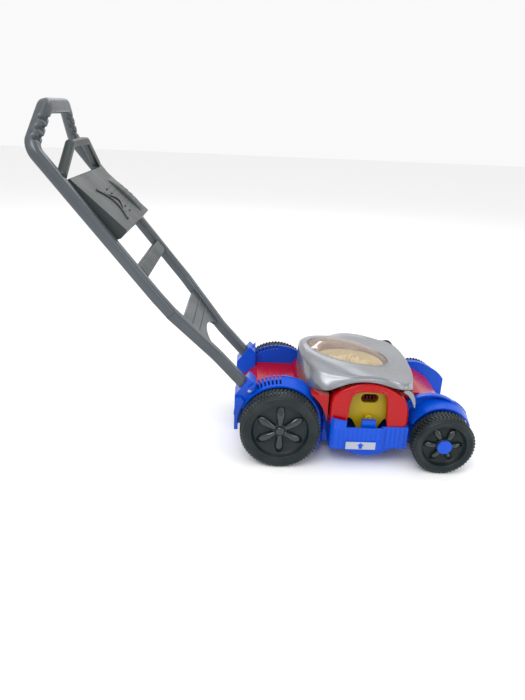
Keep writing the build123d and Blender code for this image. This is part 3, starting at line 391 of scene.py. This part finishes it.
class Wheel:
    """Places points by radius, angle and depth inwards from the outer face."""

    def __init__(self, node):
        low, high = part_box(node)
        self.centre = (low + high) / 2
        self.radius = (high.z - low.z) / 2 / MM
        self.width = (high.y - low.y) / MM
        self.side = 1 if self.centre.y > 0 else -1
        self.face_y = high.y if self.side > 0 else low.y

    def point(self, radius, angle, depth):
        """Point in millimetres from the axis and from the outer face."""
        x = self.centre.x + radius * math.cos(angle) * MM
        z = self.centre.z + radius * math.sin(angle) * MM
        return Vector((x, self.face_y - self.side * depth * MM, z))

    def lathe(self, profile, segments=120):
        """Ring from a closed profile of (radius, depth) points."""
        rows = []
        for i in range(segments):
            turn = 2 * math.pi * i / segments
            rows.append([self.point(r, turn, depth) for r, depth in profile])
        return skin(rows, wrap_rows=True)


def wheel_section(wheel, tread_start, hub_radius, hub_depth):
    """Closed section of tyre and dish, from the hub outwards, over the tread and back inside."""
    r, w = wheel.radius, wheel.width
    dish = r * DISH_SHARE
    tread_end = w - tread_start
    hub = [(AXLE_HOLE, hub_depth), (hub_radius - 1.5, hub_depth), (hub_radius, hub_depth + 1.2)]
    hub.append((hub_radius + 1, 10.6))
    bowl = [(dish - 4, 10.9), (dish - 2.2, 9.6), (dish - 0.6, 3.6), (dish, 2.2)]
    lip = [(dish + 1.2, 1.7), (dish + 2.2, 2.2), (dish + 3.4, 1.5), (r - 7.5, 0.2), (r - 5.2, 0.1)]
    shoulder = [(r - 3.8, 0.9), (r - 3.0, 2.1), (r - 2.9, 2.9), (r - 1.9, 3.1), (r - 1.5, 3.9)]
    under_tread = [(r - 1.5, tread_end - 1), (r - 2.4, tread_end), (r - 4.6, tread_end), (r - 4.6, w)]
    back = [(r - 8, w), (r - 8, 14), (9, 14), (9, w), (AXLE_HOLE, w)]
    return hub + bowl + lip + shoulder + under_tread + back


def lug(wheel, angle, span, depth_start, depth_end, slant):
    """One tread block, wider at its foot."""
    verts = []
    r = wheel.radius
    for radius, grow in ((r - 1.9, 0.0), (r - 0.4, 0.06), (r, 0.14)):
        for depth, lean in ((depth_start + grow * 2, 0), (depth_end - grow * 2, slant)):
            for edge in (-1, 1):
                verts.append(wheel.point(radius, angle + lean + edge * span * (0.5 - grow), depth))
    faces = [(8, 9, 11, 10)]
    for low in (0, 4):
        for a, b in ((0, 1), (1, 3), (3, 2), (2, 0)):
            faces.append((low + a, low + b, low + 4 + b, low + 4 + a))
    faces.append((0, 2, 3, 1))
    return verts, faces


def tread(wheel, tread_start):
    """Short shoulder blocks in a ring, then two rows of slanted blocks."""
    count = round(2 * math.pi * wheel.radius / LUG_PITCH)
    end = wheel.width - tread_start - 1.5
    rows = [(4.2, 7.4, 0.0), (8.6, lerp(8.6, end, 0.48), 0.5), (lerp(8.6, end, 0.54), end, -0.5)]
    blocks = []
    for i in range(count):
        angle = 2 * math.pi * i / count
        for row, (start, stop, slant) in enumerate(rows):
            step = 2 * math.pi / count
            blocks.append(lug(wheel, angle + row * step / 2, step * 0.62, start, stop, slant * step))
    return joined(*blocks)


def petal_skin(wheel, angle, inner, outer, half_width):
    """Leaf-shaped spoke that rises from the dish floor."""
    rows = []
    for i in range(PETAL_ROWS):
        u = i / (PETAL_ROWS - 1)
        reach = lerp(inner, outer, u)
        bulge = math.sin(math.pi * min(1.0, 0.16 + 0.84 * u)) ** 0.5 if u < 1 else 0.0
        half = half_width * (0.62 + 0.38 * smoothstep(u * 1.5)) * max(0.03, min(1, bulge * 1.15))
        rise = PETAL_RISE * (1 - 0.55 * u ** 2.2) * min(1.0, max(0.03, bulge))
        row = []
        for j in range(PETAL_COLUMNS):
            v = -1 + 2 * j / (PETAL_COLUMNS - 1)
            across = half * math.sin(v * math.pi / 2)
            lift = rise * max(0.0, math.cos(v * math.pi / 2)) ** 0.75
            turn = angle + math.atan2(across, reach)
            row.append(wheel.point(math.hypot(reach, across), turn, DISH_FLOOR - lift))
        rows.append(row)
    return skin(rows, wrap_points=False)


def petal(wheel, *shape):
    """Petal with a back, so that it is a closed body sunk in the dish floor."""
    verts, faces = petal_skin(wheel, *shape)
    back = [Vector((v.x, wheel.face_y - wheel.side * PETAL_BACK * MM, v.z)) for v in verts]
    count, across = len(verts), PETAL_COLUMNS
    rim = list(range(across))
    rim += [i * across + across - 1 for i in range(1, PETAL_ROWS)]
    rim += [count - 1 - i for i in range(1, across)]
    rim += [i * across for i in range(PETAL_ROWS - 2, 0, -1)]
    faces = faces + [tuple(count + i for i in reversed(face)) for face in faces]
    for i, vertex in enumerate(rim):
        following = rim[(i + 1) % len(rim)]
        faces.append((vertex, following, count + following, count + vertex))
    return verts + back, faces


def make_wheel(node, body, tread_start, hub_radius, hub_depth, petal_half, first):
    """Tyre and dish, tread blocks and petals; first is the angle of the first petal."""
    wheel = Wheel(node)
    section = wheel_section(wheel, tread_start, hub_radius, hub_depth)
    tyre = piece(f"{node}_tyre", *wheel.lathe(section), "wheel_plastic", body, "wheel_plastic", (node,))
    soften(tyre, 0.5, 2, 40)
    blocks = tread(wheel, tread_start)
    piece(f"{node}_tread", *blocks, "tread_plastic", body, "wheel_plastic", smooth=False)
    reach = (hub_radius - 4, wheel.radius * DISH_SHARE - 2.5)
    leaves = [petal(wheel, first + i * 2 * math.pi / PETALS, *reach, petal_half) for i in range(PETALS)]
    petals = piece(f"{node}_petals", *joined(*leaves), "gloss_plastic", body, "wheel_plastic")
    subdivide(petals, 1)


def make_hub_button(node, body):
    """Domed dark plug that hides the end of the rear axle."""
    wheel = Wheel(node)
    profile = [(0.3, 3.0), (3.0, 3.2), (5.0, 3.9), (6.2, 5.0), (6.4, 6.9), (0.3, 6.9)]
    shape = wheel.lathe(profile, 48)
    button = piece(f"{node}_hub_button", *shape, "gloss_plastic", body, "wheel_plastic")
    soften(button, 0.3)


# ---------------------------------------------------------------- engine hood, window and blower
HOOD_SLOPE = math.tan(math.radians(10.6))
WINDOW = middle("hood_window")
WINDOW_X = (WINDOW.x - REAR_AXLE.x) / MM
WINDOW_LONG, WINDOW_WIDE = 64.9, 44.0   # half sizes of the window's oval
ROOF_X, ROOF_Z = 40, 153.6   # a point on the roof plane


def roof(x):
    """Height of the sloped roof plane."""
    return ROOF_Z - HOOD_SLOPE * (x - ROOF_X)


# Shoulder and lower edge of the hood's right side, from the middle of the front round to the rear.
SHOULDER = [
    (201, 0, 124), (199, -30, 124.5), (193.5, -56, 125.5), (186, -76, 127), (175, -86, 129),
    (162, -82, 131.5), (145, -76, 134.5), (128, -80, 137), (110, -84, 138), (92, -84, 136.5),
    (74, -80, 136), (59, -74, 137), (46, -65, 138.5), (35, -48, 142), (29, -25, 146), (28, 0, 148),
]
LOWER_EDGE = [
    (205, 0, 104), (203, -30, 104), (196.5, -55, 107), (188.5, -79, 117.5), (182, -96, 125.5),
    (167, -98.5, 125), (147, -98.5, 132.5), (128, -98.5, 136.2), (108, -98.5, 136.8), (88, -98.5, 132.3),
    (73, -97, 124.5), (65, -92, 117.5), (49, -77, 112.5), (37, -59, 110), (29, -31, 105), (27, 0, 103.6),
]
# How much the wall sweeps out over the arch at each of those points.
SCOOP = [0, 0, 0, 0.1, 0.4, 1, 1, 1, 1, 1, 0.8, 0.3, 0, 0, 0, 0]
SCOOP_DIP, WALL_CROWN = 3.0, 1.2


def skewed(x, y):
    """The far front corner stands a little further forward than the near one."""
    return x + 0.09 * max(0.0, y) * smoothstep((x - 120) / 70)


def hood_ring(profile, *settings):
    """Ring of points from a function of station and side, right side then left side."""
    right = [profile(i, -1, *settings) for i in range(len(SHOULDER))]
    left = [profile(i, 1, *settings) for i in range(len(SHOULDER) - 2, 0, -1)]
    return [at(skewed(x, y), y, z) for x, y, z in right + left]


def rim_point(station, side, grow, lift):
    """Point on the window's rim in the direction of a station."""
    x, y, _ = SHOULDER[station]
    angle = math.atan2(abs(y) / WINDOW_WIDE, (x - WINDOW_X) / WINDOW_LONG)
    px = WINDOW_X + (WINDOW_LONG + grow) * math.cos(angle)
    return px, side * (WINDOW_WIDE + grow) * math.sin(angle), roof(px) + lift


def roof_point(station, side, t):
    """Point from the rim (t = 0) to the shoulder (t = 1), on the roof plane until late."""
    rx, ry, _ = rim_point(station, side, 4.5, 0)
    x, y, z = SHOULDER[station]
    px, py = lerp(rx, x, t), lerp(ry, side * abs(y), t)
    return px, py, roof(px) + (z - roof(x)) * t ** 2.4


def wall_point(station, side, t):
    """Point down the wall, from the shoulder (t = 0) to the lower edge (t = 1).

    A plain wall bulges a little; a scooped one dips before it sweeps out over the arch.
    """
    x0, y0, z0 = SHOULDER[station]
    x1, y1, z1 = LOWER_EDGE[station]
    scoop = SCOOP[station]
    out = lerp(t, t ** 2.2, scoop) if scoop else smoothstep(t * 1.6)
    sink = scoop * SCOOP_DIP * math.sin(math.pi * t)
    crown = (1 - scoop) * WALL_CROWN * math.sin(math.pi * t)
    return lerp(x0, x1, t), side * (abs(lerp(y0, y1, out)) + crown), lerp(z0, z1, t) - sink


def edge_return(station, side, inwards, lift):
    """Point behind the lower edge, where the wall turns back in under itself."""
    x, y, z = LOWER_EDGE[station]
    length = math.hypot(x - WINDOW_X, y)
    shrink = 1 - inwards / length
    tuck = SCOOP[station]
    height = z + lift * (1 - tuck) - 0.55 * inwards * tuck
    return WINDOW_X + (x - WINDOW_X) * shrink, side * abs(y) * shrink, height


def make_hood():
    """Silver shell from inside the window's rim, over the roof and down the wall to its lower edge."""
    rim = ((-0.5, -5), (-0.5, -0.6), (0.3, 1.1), (2.2, 1.2), (3.4, 0.0))
    under = ((1.4, -0.7), (2.8, 0.0), (3.4, 3.0), (5.5, 12.0))
    rings = [hood_ring(rim_point, grow, lift) for grow, lift in rim]
    rings += [hood_ring(roof_point, t) for t in (0.35, 0.78, 0.96)]
    rings += [hood_ring(wall_point, t) for t in (0.05, 0.3, 0.65, 0.95, 1.0)]
    rings += [hood_ring(edge_return, inwards, lift) for inwards, lift in under]
    look = "silver_plastic"
    hood = piece("engine_hood_shell", *skin(rings), look, "mower_body", look, ("engine_hood",))
    subdivide(hood, 2)


def make_brow_tail():
    """Thin pointed end of the hood's flange, which runs down the front of each arch."""
    spine = [
        (171, 123.0, 1.4), (177, 121.4, 2.8), (181.6, 117.4, 3.2),
        (185.0, 111.4, 2.6), (187.3, 105.0, 1.7), (188.6, 98.5, 0.9),
    ]
    section = ((-1, 98.9), (1, 98.9), (1.1, 98.0), (1.1, 95.0), (-1.1, 95.0), (-1.1, 98.0))
    for side, name in ((-1, "right"), (1, "left")):
        rows = []
        for i, (x, z, half) in enumerate(spine):
            before, after = spine[max(0, i - 1)], spine[min(len(spine) - 1, i + 1)]
            run = Vector((after[0] - before[0], 0, after[1] - before[1])).normalized()
            normal = Vector((-run.z, 0, run.x))
            row = []
            for across, y in section:
                row.append(at(x + normal.x * across * half, side * y, z + normal.z * across * half))
            rows.append(row)
        look = "silver_plastic"
        tail = piece(f"hood_flange_tail_{name}", *capped(rows), look, "mower_body", look)
        soften(tail, 0.5)


DOME_RINGS, DOME_SEGMENTS = 12, 72
DOME_RISE, DOME_SINK, DOME_GAP, DOME_WALL = 15.0, 0.6, 0.8, 1.6


def make_window():
    """Clear oval dome, a little smaller than the rim that holds it."""
    half_long, half_wide = WINDOW_LONG - DOME_GAP, WINDOW_WIDE - DOME_GAP
    rows = []
    for i in range(1, DOME_RINGS + 1):
        rho = i / DOME_RINGS
        rise = DOME_RISE * (1 - rho ** 2.6) - DOME_SINK
        row = []
        for j in range(DOME_SEGMENTS):
            angle = 2 * math.pi * j / DOME_SEGMENTS
            x = WINDOW_X + half_long * rho * math.cos(angle)
            row.append(at(x, half_wide * rho * math.sin(angle), roof(x) + rise))
        rows.append(row)
    verts, faces = skin(rows)
    verts.append(at(WINDOW_X, 0, roof(WINDOW_X) + DOME_RISE - DOME_SINK))
    faces += [(len(verts) - 1, j, (j + 1) % DOME_SEGMENTS) for j in range(DOME_SEGMENTS)]
    look = "clear_amber_window"
    dome = piece("hood_window_dome", verts, faces, look, "mower_body", look, ("hood_window",))
    wall = dome.modifiers.new("wall", "SOLIDIFY")
    wall.thickness = DOME_WALL * MM
    wall.offset = -1


VANES, VANE_STEPS = 11, 12
VANE_FOOT, VANE_TOP = 106.5, 118.0
PLATE_SEGMENTS = 64
# Radius and height round the section of the impeller's hub and plate.
PLATE = [
    (2.0, 119.5), (6.5, 119.5), (7.5, 118), (9, 112), (30, 108.2), (49.6, 107.2), (49.6, 105.6), (2.0, 105.6),
]


def vane(centre, i):
    """One wavy vane, higher at its root and ruffled along its top."""
    start = 2 * math.pi * i / VANES
    rows = []
    for step in range(VANE_STEPS + 1):
        u = step / VANE_STEPS
        radius = lerp(9, 49.0, u)
        turn = start + 0.55 * u + 0.05 * math.sin(9 * u + i)
        ruffle = 3.2 * math.sin(13 * u + 2.1 * i) + 1.8 * math.sin(29 * u + 3.7 * i)
        crest = 13.0 * (1 - u ** 1.6) * smoothstep(u * 4 + 0.2)
        top = VANE_TOP + crest + ruffle * smoothstep(u * 3)
        belly = lerp(VANE_FOOT, top, 0.6)
        section = ((-0.8, VANE_FOOT), (-0.7, belly), (-0.3, top), (0.3, top), (0.7, belly), (0.8, VANE_FOOT))
        side = Vector((-math.sin(turn), math.cos(turn), 0))
        spot = centre + Vector((math.cos(turn), math.sin(turn), 0)) * radius * MM
        row = []
        for offset, z in section:
            wave = 2.4 * math.sin(10 * u + i) * (z - VANE_FOOT) / 14
            place = spot + side * (offset + wave) * MM
            row.append(Vector((place.x, place.y, z * MM)))
        rows.append(row)
    return capped(rows)


def make_blower():
    """Ruffled impeller: wavy vanes on a plate with a low hub, seen through the window."""
    centre = middle("blower_fan")
    rings = []
    for radius, z in PLATE:
        ring = []
        for j in range(PLATE_SEGMENTS):
            turn = 2 * math.pi * j / PLATE_SEGMENTS
            spot = centre + Vector((math.cos(turn), math.sin(turn), 0)) * radius * MM
            ring.append(Vector((spot.x, spot.y, z * MM)))
        rings.append(ring)
    vanes = [vane(centre, i) for i in range(VANES)]
    look = "pale_yellow_plastic"
    shape = joined(skin(rings, wrap_rows=True), *vanes)
    fan = piece("blower_fan_vanes", *shape, look, "fan", look, ("blower_fan",))
    soften(fan, 0.3, 1)


# ---------------------------------------------------------------- arch round the bubble outlet
# Both outlines run up the rear leg, over the top and down the front leg, as (x, z).
ARCH_OUTER = [
    (70, 58), (69.5, 85), (69.8, 100), (72, 111.5), (82, 121.5), (100, 130.5), (118, 134),
    (138, 131.5), (158, 123), (173, 112.5), (180.5, 102), (183, 86), (184, 58),
]
ARCH_MOUTH = [
    (94.8, 58), (95.6, 80), (97, 96), (98.3, 108), (101.5, 116.5), (108.5, 119.8), (123, 120.2),
    (138, 119.9), (145, 117.8), (148.6, 111), (150, 98), (151.2, 82), (152, 58),
]
# Inset from the outer edge, or outset from the mouth, with how far out to the right each step stands.
OUTER_STEPS = [(0, 64), (0, 91.5), (0.5, 95.2), (2.4, 97.2), (5.5, 97.7)]
MOUTH_STEPS = [(5.2, 97.5), (3.8, 98.8), (1.6, 99.2), (0, 98.2), (0, 95), (0, 86.5), (2.5, 86.5), (2.5, 94.5)]
ARCH_FACE_Y = 97.5
ARCH_WALL = 3   # thickness of the outer wall


def make_arch():
    """Red moulding with a rounded outer edge and a raised lip round its mouth."""
    rows = []
    for (ox, oz), (mx, mz) in zip(ARCH_OUTER, ARCH_MOUTH):
        outer, mouth = Vector((ox, oz)), Vector((mx, mz))
        run = (mouth - outer).normalized()
        spots = [(outer + run * inset, y) for inset, y in OUTER_STEPS]
        spots.append(((outer + mouth) / 2, ARCH_FACE_Y))
        spots += [(mouth - run * outset, y) for outset, y in MOUTH_STEPS]
        spots += [(outer + run * ARCH_WALL, y) for y in (94.5, 64)]
        rows.append([at(spot.x, -y, spot.y) for spot, y in spots])
    look = "red_plastic"
    arch = piece("arch_housing_front", *capped(rows), look, "mower_body", look, ("arch_housing",))
    subdivide(arch, 2)


# ---------------------------------------------------------------- bars swept along a rounded route
CORNER_WEIGHT = 0.62   # pull of a corner on its bend; higher is squarer
CORNER_STEPS, CORNER_STEP = 6, 18   # points round each corner of a bar's section, and degrees between them


def rounded_route(points, radii, spacing):
    """Points along straight runs joined by smooth bends, roughly evenly spaced."""
    corners = [Vector(p) for p in points]
    anchors = [corners[0]]
    bends = []
    for i in range(1, len(corners) - 1):
        back = (corners[i - 1] - corners[i]).normalized()
        ahead = (corners[i + 1] - corners[i]).normalized()
        half = math.acos(max(-1.0, min(1.0, back.dot(ahead)))) / 2
        reach = radii[i - 1] / math.tan(half)
        bends.append((corners[i] + back * reach, corners[i], corners[i] + ahead * reach))
    route = []
    for start, corner, end in bends:
        count = max(1, round((start - anchors[-1]).length / spacing))
        route += [anchors[-1].lerp(start, k / count) for k in range(count)]
        arc = max(4, round((end - start).length / spacing))
        for k in range(arc):
            t = k / arc
            weight = CORNER_WEIGHT * 2 * t * (1 - t)
            total = (1 - t) ** 2 + weight + t ** 2
            route.append((start * (1 - t) ** 2 + corner * weight + end * t ** 2) / total)
        anchors.append(end)
    count = max(1, round((corners[-1] - anchors[-1]).length / spacing))
    route += [anchors[-1].lerp(corners[-1], k / count) for k in range(count + 1)]
    return route


def rounded_section(width, depth, corner):
    """Outline points of a rounded rectangle with their outward directions."""
    outline = []
    for cx, cy, start in ((1, 1, 0), (-1, 1, 90), (-1, -1, 180), (1, -1, 270)):
        pivot = Vector((cx * (width / 2 - corner), cy * (depth / 2 - corner)))
        for k in range(CORNER_STEPS):
            turn = math.radians(start + CORNER_STEP * k)
            outward = Vector((math.cos(turn), math.sin(turn)))
            outline.append((pivot + outward * corner, outward))
    return outline


def bar(points, radii, width, depth, corner, across, spacing=6.0, carve=None):
    """Swept bar; its width starts out along across.

    carve(place, outward) gives how deep the skin is pressed in at a spot.
    """
    route = rounded_route(points, radii, spacing)
    outline = rounded_section(width, depth, corner)
    side = Vector(across).normalized()
    rows = []
    for i, spot in enumerate(route):
        run = (route[min(i + 1, len(route) - 1)] - route[max(i - 1, 0)]).normalized()
        side = (side - run * side.dot(run)).normalized()
        rise = run.cross(side)
        row = []
        for local, outward in outline:
            normal = side * outward.x + rise * outward.y
            place = spot + side * local.x + rise * local.y
            if carve:
                place = place - normal * carve(place, normal)
            row.append(at(*place))
        rows.append(row)
    return capped(rows)


# ---------------------------------------------------------------- handle
# Middle of the rails where they leave the lower handle, and where they bend up into the grips.
KNEE, BEND = Vector((-172, 0, 248)), Vector((-316, 0, 428))
RISE = (BEND - KNEE).normalized()
OVER = Vector((RISE.z, 0, -RISE.x))
GRIP_LOW, GRIP_HIGH = 436.0, 466.0
NOTCHES, NOTCH_DEPTH, NOTCH_HALF = 3, 4.2, 1.9


def on_rails(along, y, above):
    """Point by distance up the rails from the knee, side position and height above the rails' middle."""
    return KNEE + RISE * along + OVER * above + Vector((0, y, 0))


def finger_notches(place, normal):
    """Three slanted finger notches across the inner front corner of each grip."""
    if not (GRIP_LOW - 8 < place.z < GRIP_HIGH + 8) or abs(place.y) < 44:
        return 0.0
    inward = Vector((0.80, 0.12 * math.copysign(1, place.y), 0.2)).normalized()
    facing = max(0.0, normal.dot(inward))
    slant = place.z + 0.55 * (place.x + 311)
    depth = 0.0
    for k in range(NOTCHES):
        centre = lerp(GRIP_LOW + 4, GRIP_HIGH - 3, k / (NOTCHES - 1))
        depth += NOTCH_DEPTH * math.exp(-((slant - centre) / NOTCH_HALF) ** 4)
    return depth * facing ** 0.5


def make_handle():
    """Rails, grips and top bar in one run, with the bail and the crossbar."""
    right = [(-152, -91, 224), (KNEE.x, -93, KNEE.z), (BEND.x, -93, BEND.z), (-311, -42, 474)]
    left = [(x, -y, z) for x, y, z in reversed(right)]
    bends = [60, 18, 13, 13, 18, 60]
    frame_bar = bar(right + left, bends, 18.5, 15.5, 5.5, (0, 1, 0), 1.6, finger_notches)
    bail_route = [(-284, -88, 395), (-285, -36, 430), (-285, 36, 430), (-284, 88, 395)]
    bail = bar(bail_route, [8, 8], 12, 10, 3, (1, 0, 0), 4)
    low = on_rails(34, 0, 0)
    crossbar = bar([(low.x, -86, low.z), (low.x, 86, low.z)], [], 20, 13, 3.5, RISE, 8)
    body, slot = "mower_body", "handle_plastic"
    piece("handle_upper_frame", *frame_bar, "handle_plastic", body, slot, ("handle_upper",))
    piece("handle_bail", *bail, "console_plastic", body, slot)
    # The crossbar takes the darker console plastic instead of the handle plastic of its slot: painted shade
    # for its downward face.
    piece("handle_crossbar", *crossbar, "console_plastic", body, slot)


CONSOLE_FOOT, CONSOLE_HEAD = 87, 178   # how far up the rails the console starts and ends
POD_SIDES = (44, 80)   # how far to the left the raised pod starts and ends
POD_STEPS, POD_RIBS, RIDGE_STEPS, SLATS = 16, 7, 12, 6


def console_top(along):
    """Height of the console's sloped top above the rails' middle."""
    return lerp(24, 9, (along - CONSOLE_FOOT) / (CONSOLE_HEAD - CONSOLE_FOOT))


def console_pod():
    """Raised rounded pod with shallow cooling ribs, on the panel's left."""
    rows = []
    for i in range(POD_STEPS + 1):
        u = i / POD_STEPS
        along = lerp(92, 158, u)
        swell = 5.5 * math.sin(math.pi * u) ** 0.5 * (1 + 0.10 * math.cos(2 * math.pi * POD_RIBS * u))
        top, foot = [], []
        for j in range(9):
            v = j / 8
            y = lerp(*POD_SIDES, v)
            rise = swell * math.sin(math.pi * v) ** 0.5
            top.append(at(*on_rails(along, y, console_top(along) - 0.4 + rise)))
            foot.append(at(*on_rails(along, y, console_top(along) - 1.2)))
        rows.append(top + foot[::-1])
    return capped(rows)


def console_ridge(reach, bow):
    """Curved ridge across the panel; reach shortens it and bow bends it."""
    path = []
    for k in range(RIDGE_STEPS + 1):
        u = k / RIDGE_STEPS
        along = lerp(98 + reach, 150 - reach, u)
        y = -38 + reach * 1.5 + bow * math.sin(math.pi * u) * 2
        path.append(on_rails(along, y, console_top(along) + 0.5))
    return bar(path, [2.0] * (RIDGE_STEPS - 1), 3.4, 2.6, 1.1, (0, 1, 0), 2.0)


def console_slat(along):
    """Straight slat, a little further up the rails at its left end."""
    ends = [on_rails(spot, y, console_top(spot) + 0.2) for spot, y in ((along, 2), (along + 3, 34))]
    return bar(ends, [], 2.4, 2.0, 0.9, RISE, 4)


def make_console_relief():
    """Moulded engine look on the panel: a ribbed pod, two curved ridges and a row of slats."""
    parts = [console_pod(), console_ridge(0, 10), console_ridge(9, 14)]
    parts += [console_slat(104 + 8 * k) for k in range(SLATS)]
    piece("console_relief", *joined(*parts), "console_plastic", "mower_body", "handle_plastic")


# ---------------------------------------------------------------- air nozzle behind the film slots
NOZZLE_RISE = 29.0   # height of the nozzle's middle above the bubble wheel's
NOZZLE_ROUND, NOZZLE_STRAIGHT = 6.4, 5.5
NOZZLE_STEPS, TEETH, TEETH_PITCH = 40, 4, 4.8


def make_nozzle_comb():
    """Throat of the nozzle, in red plastic darkened as painted shade, with short upright teeth along its
    lower edge.
    """
    hub = middle("bubble_wheel")
    x0, z0 = (hub.x - REAR_AXLE.x) / MM, hub.z / MM + NOZZLE_RISE
    rows = []
    for y, grow in ((-77.5, 0.4), (-77.5, -1.4), (-68, -1.4), (-68, 0.4)):
        row = []
        for j in range(NOZZLE_STEPS):
            turn = 2 * math.pi * j / NOZZLE_STEPS
            upright = abs(math.cos(turn)) < 1e-6
            straight = 0.0 if upright else math.copysign(NOZZLE_STRAIGHT, math.cos(turn))
            radius = NOZZLE_ROUND + grow
            row.append(at(x0 + straight + radius * math.cos(turn), y, z0 + radius * math.sin(turn)))
        rows.append(row)
    parts = [skin(rows, wrap_rows=True)]
    for k in range(TEETH):
        x = x0 - TEETH_PITCH * (TEETH - 1) / 2 + TEETH_PITCH * k
        parts.append(bar([(x, -74, z0 - 6.2), (x, -74, z0 + 1.2)], [], 2.4, 5.0, 1.0, (1, 0, 0), 2))
    parts.append(bar([(x0 - 10.5, -69, z0), (x0 + 10.5, -69, z0)], [], 12.0, 1.2, 0.5, (0, 0, 1), 3))
    # The whole comb takes the darkened red plastic: painted shade for the recess behind the film slots.
    piece("nozzle_comb", *joined(*parts), "dark_red_plastic", "mower_body", "red_plastic")


make_camera()
make_stage()
dress_cad()
for side in ("right", "left"):
    make_wheel(f"rear_wheel_{side}", "rear_axle", **REAR_WHEEL)
    make_hub_button(f"rear_wheel_{side}", "rear_axle")
    make_wheel(f"front_wheel_{side}", f"front_wheel_{side}", **FRONT_WHEEL)
make_hood()
make_brow_tail()
make_window()
make_blower()
make_arch()
make_handle()
make_console_relief()
make_nozzle_comb()
